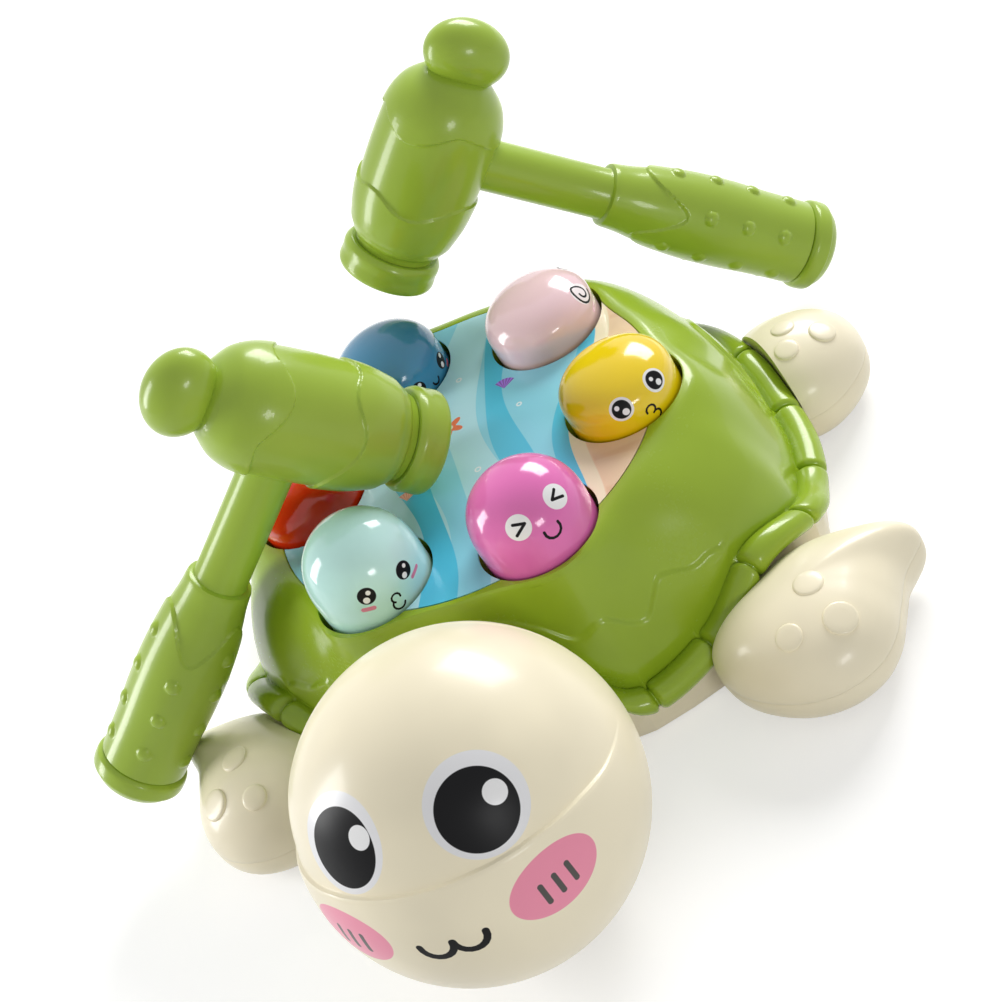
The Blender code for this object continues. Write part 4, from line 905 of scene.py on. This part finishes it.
flipperSizes = {
    "seam": 16.0, "gap": 0.3, "floor": 1.0, "topPower": 2.2, "underPower": 3.2, "rings": 26, "lastShare": 0.985,
    "seamGap": 0.08, "edgeShare": 0.997, "edgeUp": 0.15,
    "inset": 4.4, "peg": 3.0, "pegLength": 12.0, "pegUp": 8.5, "wall": 2.2,
    "front": {"middle": (97.0, -67.0), "length": 72.0, "rise": 21.0, "shares": [
        (-0.46, -0.10), (-0.36, -0.26), (-0.20, -0.37), (-0.03, -0.42), (0.14, -0.40),
        (0.28, -0.31), (0.36, -0.17), (0.395, 0.0), (0.43, 0.165), (0.515, 0.335),
        (0.46, 0.405), (0.32, 0.43), (0.17, 0.435), (0.02, 0.41), (-0.14, 0.33),
        (-0.32, 0.18), (-0.44, 0.04)]},
    "rear": {"middle": (97.0, 54.0), "length": 52.0, "rise": 20.0, "shares": [
        (-0.46, 0.16), (-0.44, -0.12), (-0.26, -0.36), (-0.02, -0.46), (0.2, -0.42),
        (0.38, -0.26), (0.49, -0.03), (0.48, 0.2), (0.36, 0.39), (0.16, 0.48),
        (-0.1, 0.48), (-0.32, 0.38)]},
    "spots": {"front": [(102.5, -67.8, 5.0), (110.5, -82.0, 5.5), (94.1, -84.9, 4.5)],
              "rear": [(100.1, 58.5, 4.4), (113.2, 53.9, 4.8), (100.8, 47.0, 4.4)]},
}


def flipperOutline(label):
    form = flipperSizes[label]
    return np.array(form["middle"]), spline(np.array(form["shares"]) * form["length"], 9, True)


def flipperRings(label, seam, rise, power):
    sizes = flipperSizes
    middle, outline = flipperOutline(label)
    # The edge at the joint is eased
    levels = [(sizes["edgeShare"], seam), (1.0, seam + math.copysign(sizes["edgeUp"], rise))]
    for k in range(1, sizes["rings"] + 1):
        turn = pi / 2 * sizes["lastShare"] * k / sizes["rings"]
        levels.append((cos(turn) ** (2 / power), seam + rise * sin(turn) ** (2 / power)))
    return [[(middle[0] + p[0] * share, middle[1] + p[1] * share, height) for p in outline]
            for share, height in levels]


def flipperTop(label, x, y):
    # Height of the top at a place, found by walking out from the middle
    sizes = flipperSizes
    middle, outline = flipperOutline(label)
    away = np.array((x, y)) - middle
    edge = nearest(outline, atan2(away[1], away[0]))
    share = min(np.linalg.norm(away) / np.linalg.norm(edge), 0.98)
    turn = math.acos(share ** (sizes["topPower"] / 2))
    return sizes["seam"] + sizes[label]["rise"] * sin(turn) ** (2 / sizes["topPower"])


rimFine = [k / 8 for k in range(len(rimPoints) * 8)]


def caseKeepout(spread):
    rings = [[], [], [], []]
    for at in rimFine:
        angle, reach, base = rimEdge(at)
        outer, low = reach + spread, base - spread
        inner = outer - shellSizes["ledge"]
        for ring, radius, height in zip(rings, (inner, inner, outer, outer), (-2.0, low, low, shellSizes["panel"])):
            ring.append(polar(radius, angle, height))
    return loftPiece("keepout", rings)


def raisedSpot(label, x, y, radius):
    east = flipperTop(label, x + 2, y) - flipperTop(label, x - 2, y)
    north = flipperTop(label, x, y + 2) - flipperTop(label, x, y - 2)
    normal = Vector((-east / 4, -north / 4, 1)).normalized()
    profile = [(0, 0.7), (radius * 0.5, 0.64), (radius - 0.8, 0.48), (radius - 0.3, 0.3), (radius - 0.04, 0.0),
               (radius, -0.4), (radius, -2.5), (0, -2.5)]
    return turnedPiece("spot", profile, 48, shift(x, y, flipperTop(label, x, y)) @ tilt(normal))


def mirrored(piece, name):
    mesh = piece.data.copy()
    mesh.transform(Matrix.Scale(-1, 4, (1, 0, 0)))
    mesh.flip_normals()
    return shown(name, mesh)


def buildFlippers():
    sizes = flipperSizes
    for label in ("front", "rear"):
        form = sizes[label]
        halves = {"top": (sizes["seam"] + sizes["seamGap"] / 2, form["rise"], sizes["topPower"]),
                  "bottom": (sizes["seam"] - sizes["seamGap"] / 2, sizes["floor"] - sizes["seam"],
                             sizes["underPower"])}
        for half, (seam, rise, power) in halves.items():
            name = label.capitalize() + half.capitalize()
            right = loftPiece("rightFlipper" + name, flipperRings(label, seam, rise, power))
            if half == "top":
                cutWith(right, [raisedSpot(label, *spot) for spot in sizes["spots"][label]], "UNION")
            cutWith(right, [caseKeepout(sizes["gap"])])
            if half == "bottom":
                heading = atan2(form["middle"][1], form["middle"][0])
                edge = nearest([rimAt(at) for at in rimFine], heading)
                reach = hypot(edge[0], edge[1]) - sizes["inset"]
                near, far = reach - sizes["pegLength"], reach + sizes["gap"] + sizes["wall"]
                ends = [polar(radius, heading, sizes["pegUp"]) for radius in (near, far)]
                cutWith(right, [rod("peg", sizes["peg"], *ends, 32)], "UNION")
            for side, piece in (("right", right), ("left", mirrored(right, "leftFlipper" + name))):
                smoothed(piece, 40.0)
                place(piece, "base", ["flipper_%s_%s_%s" % (label, side, half)], creamFlipper, "cream_plastic")


buildFlippers()
print("flippers made")


# Hammers

hammerSizes = {
    "half": 49.8, "body": 21.3, "neck": 14.4, "neckRound": 2.4, "cap": 13.4, "gap": 0.1, "bore": 13.5, "face": 17.6,
    "bodyShares": [(-0.70, 0.775), (-0.60, 0.85), (-0.42, 0.945), (-0.18, 0.985), (0.1, 0.99), (0.3, 0.955),
                   (0.44, 0.84), (0.54, 0.66), (0.60, 0.50)],
    "crown": [(0.0, 0.64), (5.5, 0.635)], "hollow": [(17.0, -12.0), (17.0, 6.0), (11.0, 25.0), (0.0, 27.0)],
    "knob": (15.2, 10.8, 12.2), "step": 0.9, "stepRun": 0.55, "stepRows": (-24, 20, 0.42), "stepTop": 31,
    "coreReach": 12, "neckReach": 16.4,
    "shaft": 9.2, "shaftSeat": 12.0, "gripStart": 65.8, "grip": 15.0, "handle": 156.0, "endRing": 16.3,
    "endLength": 12.0, "handleBore": 6.0,
    "gripShares": [(0.0, 0.60), (0.02, 0.76), (0.1, 0.80), (0.22, 0.90), (0.42, 0.99), (0.6, 1.0), (0.8, 0.96),
                   (1.0, 0.95)],
    "cover": 0.85, "coverRun": 0.6, "bump": 2.6, "bumpUp": 1.3, "bumpPitch": 14.85,
    "bumpRows": [(0, 89.6, 4), (53, 89.6, 4), (116, 102.4, 3), (180, 89.6, 4), (-116, 102.4, 3), (-53, 89.6, 4)],
    # Where each striking face lies across the toy, and the heading, slope and roll of its handle
    "places": {"hammer_1": ((-6.25, -5.73, 87.96), (198.1, -39.1, -3.4)),
               "hammer_2": ((-25.93, 85.87, 96.88), (13.5, -47.3, -1.4))},
}
# Height of each raised line by degrees round from the handle
upperLine = lineTable([(0, 11.8), (30, 11.4), (47, 12.3), (60, 13.8), (74, 15.1), (85, 15.4), (95, 13.8),
                       (106, 11.2), (118, 8.8), (132, 7.6), (146, 8.6), (160, 11.0), (171, 12.9), (180, 13.6)])
lowerLine = lineTable([(0, -11.6), (30, -11.2), (50, -11.2), (66, -12.8), (80, -15.4), (95, -17.9), (108, -18.7),
                       (119, -17.8), (130, -15.9), (143, -14.0), (157, -14.2), (169, -15.6), (180, -16.2)])
coverLine = lineTable([(0, 92.5), (12, 90.5), (24, 85.0), (36, 79.6), (50, 77.6), (63, 78.6), (72, 81.6),
                       (81, 85.4), (90, 88.9), (99, 92.2), (108, 93.7), (117, 92.6), (127, 89.2), (138, 85.2),
                       (150, 81.6), (163, 79.2), (180, 78.0)])


def hammerPlace(name):
    at, (heading, slope, roll) = hammerSizes["places"][name]
    turned = rotation(heading, "Z") @ rotation(-slope, "Y") @ rotation(roll, "X")
    return shift(*at) @ turned @ Matrix.Translation((0, 0, hammerSizes["half"] * mm))


def lineAt(line, turn):
    return np.interp(turn, range(181), line)


def hammerHead(name, at):
    sizes = hammerSizes
    half, neck, inner = sizes["half"], sizes["neck"], sizes["bore"]
    body = [(out * sizes["body"], up * half) for up, out in reversed(sizes["bodyShares"])]
    curve = spline([(out, up * half) for out, up in sizes["crown"]] + body, 6)
    foot = -half + sizes["cap"] - sizes["neckRound"] + sizes["gap"]
    low = sizes["bodyShares"][0][0] * half
    # Extra rows where the two wavy steps run
    heights = {z for _, z in curve if low < z < 32} | set(np.arange(*sizes["stepRows"]))
    heights = sorted(heights, reverse=True)
    radii = np.interp([-h for h in heights], [-z for _, z in curve], [r for r, _ in curve])
    rows = [(0.0, curve[0][1])] + [(r, z) for r, z in zip(radii, heights) if r > 0.3]
    rows += [(neck + 2.1, low), (neck + 1.4, low - 0.9), (neck + 0.3, low - 1.4), (neck, low - 1.9), (neck, foot)]
    rows += [(inner, foot), (inner, -30.0)] + sizes["hollow"]

    def steps(x, y, z):
        radius = hypot(x, y)
        if radius < sizes["coreReach"] or radius < sizes["neckReach"] and z < low + 1:
            return (x, y, z)
        turn = abs(math.degrees(atan2(y, x)))
        upper, lower = lineAt(upperLine, turn), lineAt(lowerLine, turn)
        proud = ease((z - upper) / sizes["stepRun"] + 0.5) + ease((lower - z) / sizes["stepRun"] + 0.5)
        proud *= sizes["step"] * ease((sizes["stepTop"] - z) / 8) * ease((z - low) / 4)
        return (x * (1 + proud / radius), y * (1 + proud / radius), z)

    piece = turnedPiece(name + "Head", rows, 168, bend=steps)
    work = bmesh.new()
    bmesh.ops.create_uvsphere(work, u_segments=64, v_segments=40, radius=mm)
    bmesh.ops.scale(work, vec=sizes["knob"], verts=work.verts)
    bmesh.ops.translate(work, vec=(0, 0, (half - sizes["knob"][2]) * mm), verts=work.verts)
    mesh = bpy.data.meshes.new("knob")
    work.to_mesh(mesh)
    work.free()
    cutWith(piece, [shown("knob", mesh)], "UNION")
    cutWith(piece, [rod("handleHole", sizes["shaft"] + sizes["gap"], (0, 0, 0), (sizes["body"] + 3, 0, 0), 48)])
    piece.matrix_world = at
    return smoothed(piece)


def strikeCap(name, at):
    sizes = hammerSizes
    low = -sizes["half"]
    high = low + sizes["cap"]
    lip = high - sizes["neckRound"]
    neck, face = sizes["neck"], sizes["face"]
    spigot = sizes["bore"] - sizes["gap"]
    rim = spline([(neck + 0.2, lip), (neck + 1.6, lip + 0.15), (face - 0.75, lip - 0.7), (face - 0.1, lip - 2.0),
                  (face, lip - 3.4), (face - 0.2, lip - 5.4), (face - 0.05, lip - 7.6), (face - 0.1, low + 1.9),
                  (face - 0.7, low + 0.7), (face - 2.0, low)], 5)
    profile = [(0, high + 6), (spigot - 0.5, high + 6), (spigot, high + 5.5), (spigot, lip)]
    profile += [tuple(p) for p in rim]
    profile += [(face - 3.0, low + 0.05), (face - 3.8, low + 0.6), (6.0, low + 0.8), (0, low + 0.8)]
    return turnedPiece(name + "StrikeCap", profile, 128, at)


def hammerHandle(name, at):
    sizes = hammerSizes
    start, shaft, bore = sizes["gripStart"], sizes["shaft"], sizes["handleBore"]
    end = sizes["handle"] - sizes["endLength"] - sizes["gap"]
    span = end - start
    grip = spline([(sizes["grip"] * out, start + span * along) for along, out in sizes["gripShares"][1:]], 10)
    heights = np.arange(start + span * 0.02, end, 0.52)
    radii = np.interp(heights, grip[:, 1], grip[:, 0])
    rows = [(0, start + span / 2), (bore, start + span / 2), (bore, end), (radii[-1] - 0.4, end)]
    rows += [(r, z) for r, z in zip(radii[::-1], heights[::-1])]
    rows += [(radii[0] - 0.35, start + 0.5), (radii[0] - 1.3, start), (shaft + 0.3, start - 0.05)]
    rows += [(shaft, z) for z in (start - 0.8, 50, 36, 24, sizes["shaftSeat"])] + [(0, sizes["shaftSeat"])]
    bumps = [(radians(turn), first + k * sizes["bumpPitch"])
             for turn, first, count in sizes["bumpRows"] for k in range(count)]

    def raised(x, y, z):
        radius = hypot(x, y)
        if radius < bore + 2 or z < start + 4 or z > end - 0.2:
            return (x, y, z)
        turn = atan2(y, x)
        edge = lineAt(coverLine, abs(math.degrees(turn)))
        proud = sizes["cover"] * ease((z - edge) / sizes["coverRun"] + 0.5)
        for a, height in bumps:
            if abs(z - height) > sizes["bump"]:
                continue
            far = hypot(z - height, math.remainder(turn - a, tau) * radius)
            if far < sizes["bump"]:
                proud += sizes["bumpUp"] * sqrt(1 - (far / sizes["bump"]) ** 2)
        return (x * (1 + proud / radius), y * (1 + proud / radius), z)

    return turnedPiece(name + "Handle", rows, 180, at @ rotation(90.0, "Y"), raised)


def endCap(name, at):
    sizes = hammerSizes
    top, ring = sizes["handle"], sizes["endRing"]
    low = top - sizes["endLength"]
    spigot = sizes["handleBore"] - sizes["gap"]
    rim = spline([(0.0, top), (6.0, top - 0.3), (10.6, top - 1.3), (13.4, top - 2.9), (14.9, top - 4.7),
                  (ring - 1.05, top - 5.3), (ring - 0.25, top - 5.9), (ring, top - 7.2), (ring, top - 9.6),
                  (ring - 0.4, top - 11.0), (ring - 1.6, low)], 6)
    profile = [(max(p[0], 0.0), p[1]) for p in rim]
    profile += [(spigot, low), (spigot, low - 7.5), (spigot - 0.5, low - 8), (0, low - 8)]
    return turnedPiece(name + "EndCap", profile, 128, at @ rotation(90.0, "Y"))


for hammer in hammerSizes["places"]:
    at = hammerPlace(hammer)
    label = hammer.replace("_", "")
    for piece, node in ((hammerHead(label, at), "head"), (strikeCap(label, at), "strike_cap"),
                        (hammerHandle(label, at), "handle"), (endCap(label, at), "end_cap")):
        piece.data.transform(piece.matrix_world)
        piece.matrix_world = still
        place(piece, hammer, [hammer + "_" + node], greenHammer, "green_plastic")
print("hammers made")


# Carried-over solids: case, springs, board, cells and the rest

def metal(name, colour, rough):
    paint = Paint(name)
    spot = paint.spot()
    cloud = paint.noise(spot, 6.0, 3.0)
    scratch = paint.noise(spot * (1.0, 1.0, 0.15), 0.7, 2.0)
    paint.set(Base_Color=paint.over(paint.soft(cloud, 0.3, 0.7), glow(colour, 0.85), colour),
              Roughness=rough + (cloud - 0.5) * 0.2 + (scratch - 0.5) * 0.1,
              Normal=paint.bump(scratch, 0.04), Metallic=0.95)
    return paint


def boardPaint():
    paint = Paint("boardLacquer")
    spot = paint.spot()
    cell = paint.node("TexBrick", {"offset": 0.5}, {
        "Vector": spot, "Color1": (0.01, 0.09, 0.03), "Color2": (0.015, 0.12, 0.04), "Mortar": (0.03, 0.22, 0.07),
        "Scale": 0.09, "Mortar Size": 0.03, "Bias": 0.0, "Brick Width": 0.6, "Row Height": 0.3})
    paint.set(Base_Color=cell, Roughness=0.35 + (paint.noise(spot, 9.0) - 0.5) * 0.1)
    return paint


def cellPaint():
    paint = Paint("cellWrap")
    spot = paint.spot()
    colour = paint.over(paint.soft(paint.parts(spot), 9.0, 9.4), tint(38, 42, 52), tint(190, 140, 70))
    paint.set(Base_Color=colour, Metallic=0.35, Roughness=0.3 + (paint.noise(spot, 5.0) - 0.5) * 0.1)
    return paint


finishes = {
    "zinc_steel": metal("zincSteel", (0.62, 0.62, 0.60), 0.33),
    "works_steel": metal("worksSteel", (0.42, 0.42, 0.44), 0.38),
    "board_green": boardPaint(),
    "black_plastic": plastic("blackPlastic", (0.03, 0.03, 0.03), 0.4),
    "white_inner_plastic": plastic("innerPlastic", (0.75, 0.75, 0.72), 0.45),
    "cell_wrap": cellPaint(),
    "red_wire": plastic("redWire", (0.55, 0.03, 0.03), 0.4),
    "black_wire": plastic("blackWire", (0.02, 0.02, 0.02), 0.4),
    "cream_plastic": creamCase,
    "green_plastic": greenShell,
}
slotOf = {}
for entry in frame["record"]["subparts"]:
    slotOf[entry.get("node") or entry.get("name")] = entry.get("material_slot") or entry.get("material")
for name, solid in frame["nodes"].items():
    if solid.hide_render:
        continue
    finish = finishes.get(slotOf.get(name))
    if finish:
        solid.data.materials.clear()
        solid.data.materials.append(finish.made)
    else:
        print("no finish for", name, slotOf.get(name))
print("solids painted")


# Floor, light and camera

studio = {
    "floor": 0.66, "floorLift": 0.48, "floorHalf": 6, "sky": 0.34,
    "boxes": [
        ("backWindow", (0.55, 1.45, 1.1), (1.1, 0.7), 33.0),
        ("leftWindow", (-1.35, -0.05, 0.55), (0.4, 0.9), 12.5),
        ("frontWindow", (0.9, -1.3, 0.5), (0.4, 0.3), 5.0),
    ],
    "lens": 83.884, "sensor": 36.0, "cameraAt": (0.26215, -0.57505, 0.52439),
    "cameraTurn": ((0.8951, 0.2992, 0.3305), (0.0402, 0.6842, -0.7282), (-0.4440, 0.6651, 0.6004)),
}


def stageFloor():
    half = studio["floorHalf"]
    mesh = bpy.data.meshes.new("floor")
    mesh.from_pydata([(x * half, y * half, 0) for x, y in ((-1, -1), (1, -1), (1, 1), (-1, 1))], [], [(0, 1, 2, 3)])
    floor = shown("floor", mesh)
    paint = Paint("floorPaint")
    paint.set(Base_Color=(studio["floor"],) * 3, Roughness=0.9)
    path = paint.node("LightPath")
    seen = path | path.output("Is Glossy Ray")
    lift = paint.node("Emission", None, {"Color": (1, 1, 1), "Strength": seen * studio["floorLift"]})
    paint.cover("AddShader", {0: paint.own, 1: lift})
    mesh.materials.append(paint.made)


def softbox(name, at, size, watts, aim=(0.0, -0.02, 0.06)):
    lamp = bpy.data.lights.new(name, "AREA")
    lamp.shape = "RECTANGLE"
    lamp.size, lamp.size_y = size
    lamp.energy = watts
    holder = shown(name, lamp)
    holder.location = at
    holder.rotation_euler = (Vector(aim) - Vector(at)).to_track_quat("-Z", "Y").to_euler()


def skyLight():
    # The sky is white where the camera, a reflection or a clear piece sees it, and plain soft light elsewhere
    sky = Paint("studio", "worlds", "Background")
    path = sky.node("LightPath")
    seen = path | path.output("Is Glossy Ray") | path.output("Is Transmission Ray")
    level = sky.node("MapRange", None, {"Value": seen, "To Min": studio["sky"], "To Max": 1.0})
    sky.set(Color=(1, 1, 1), Strength=level)
    bpy.context.scene.world = sky.made


stageFloor()
skyLight()
for box in studio["boxes"]:
    softbox(*box)

camera = bpy.data.cameras.new("camera")
camera.lens = studio["lens"]
camera.sensor_width = studio["sensor"]
holder = shown("camera", camera)
holder.matrix_world = Matrix.Translation(studio["cameraAt"]) @ Matrix(studio["cameraTurn"]).to_4x4()
bpy.context.scene.camera = holder
bpy.context.scene.view_settings.view_transform = "Standard"
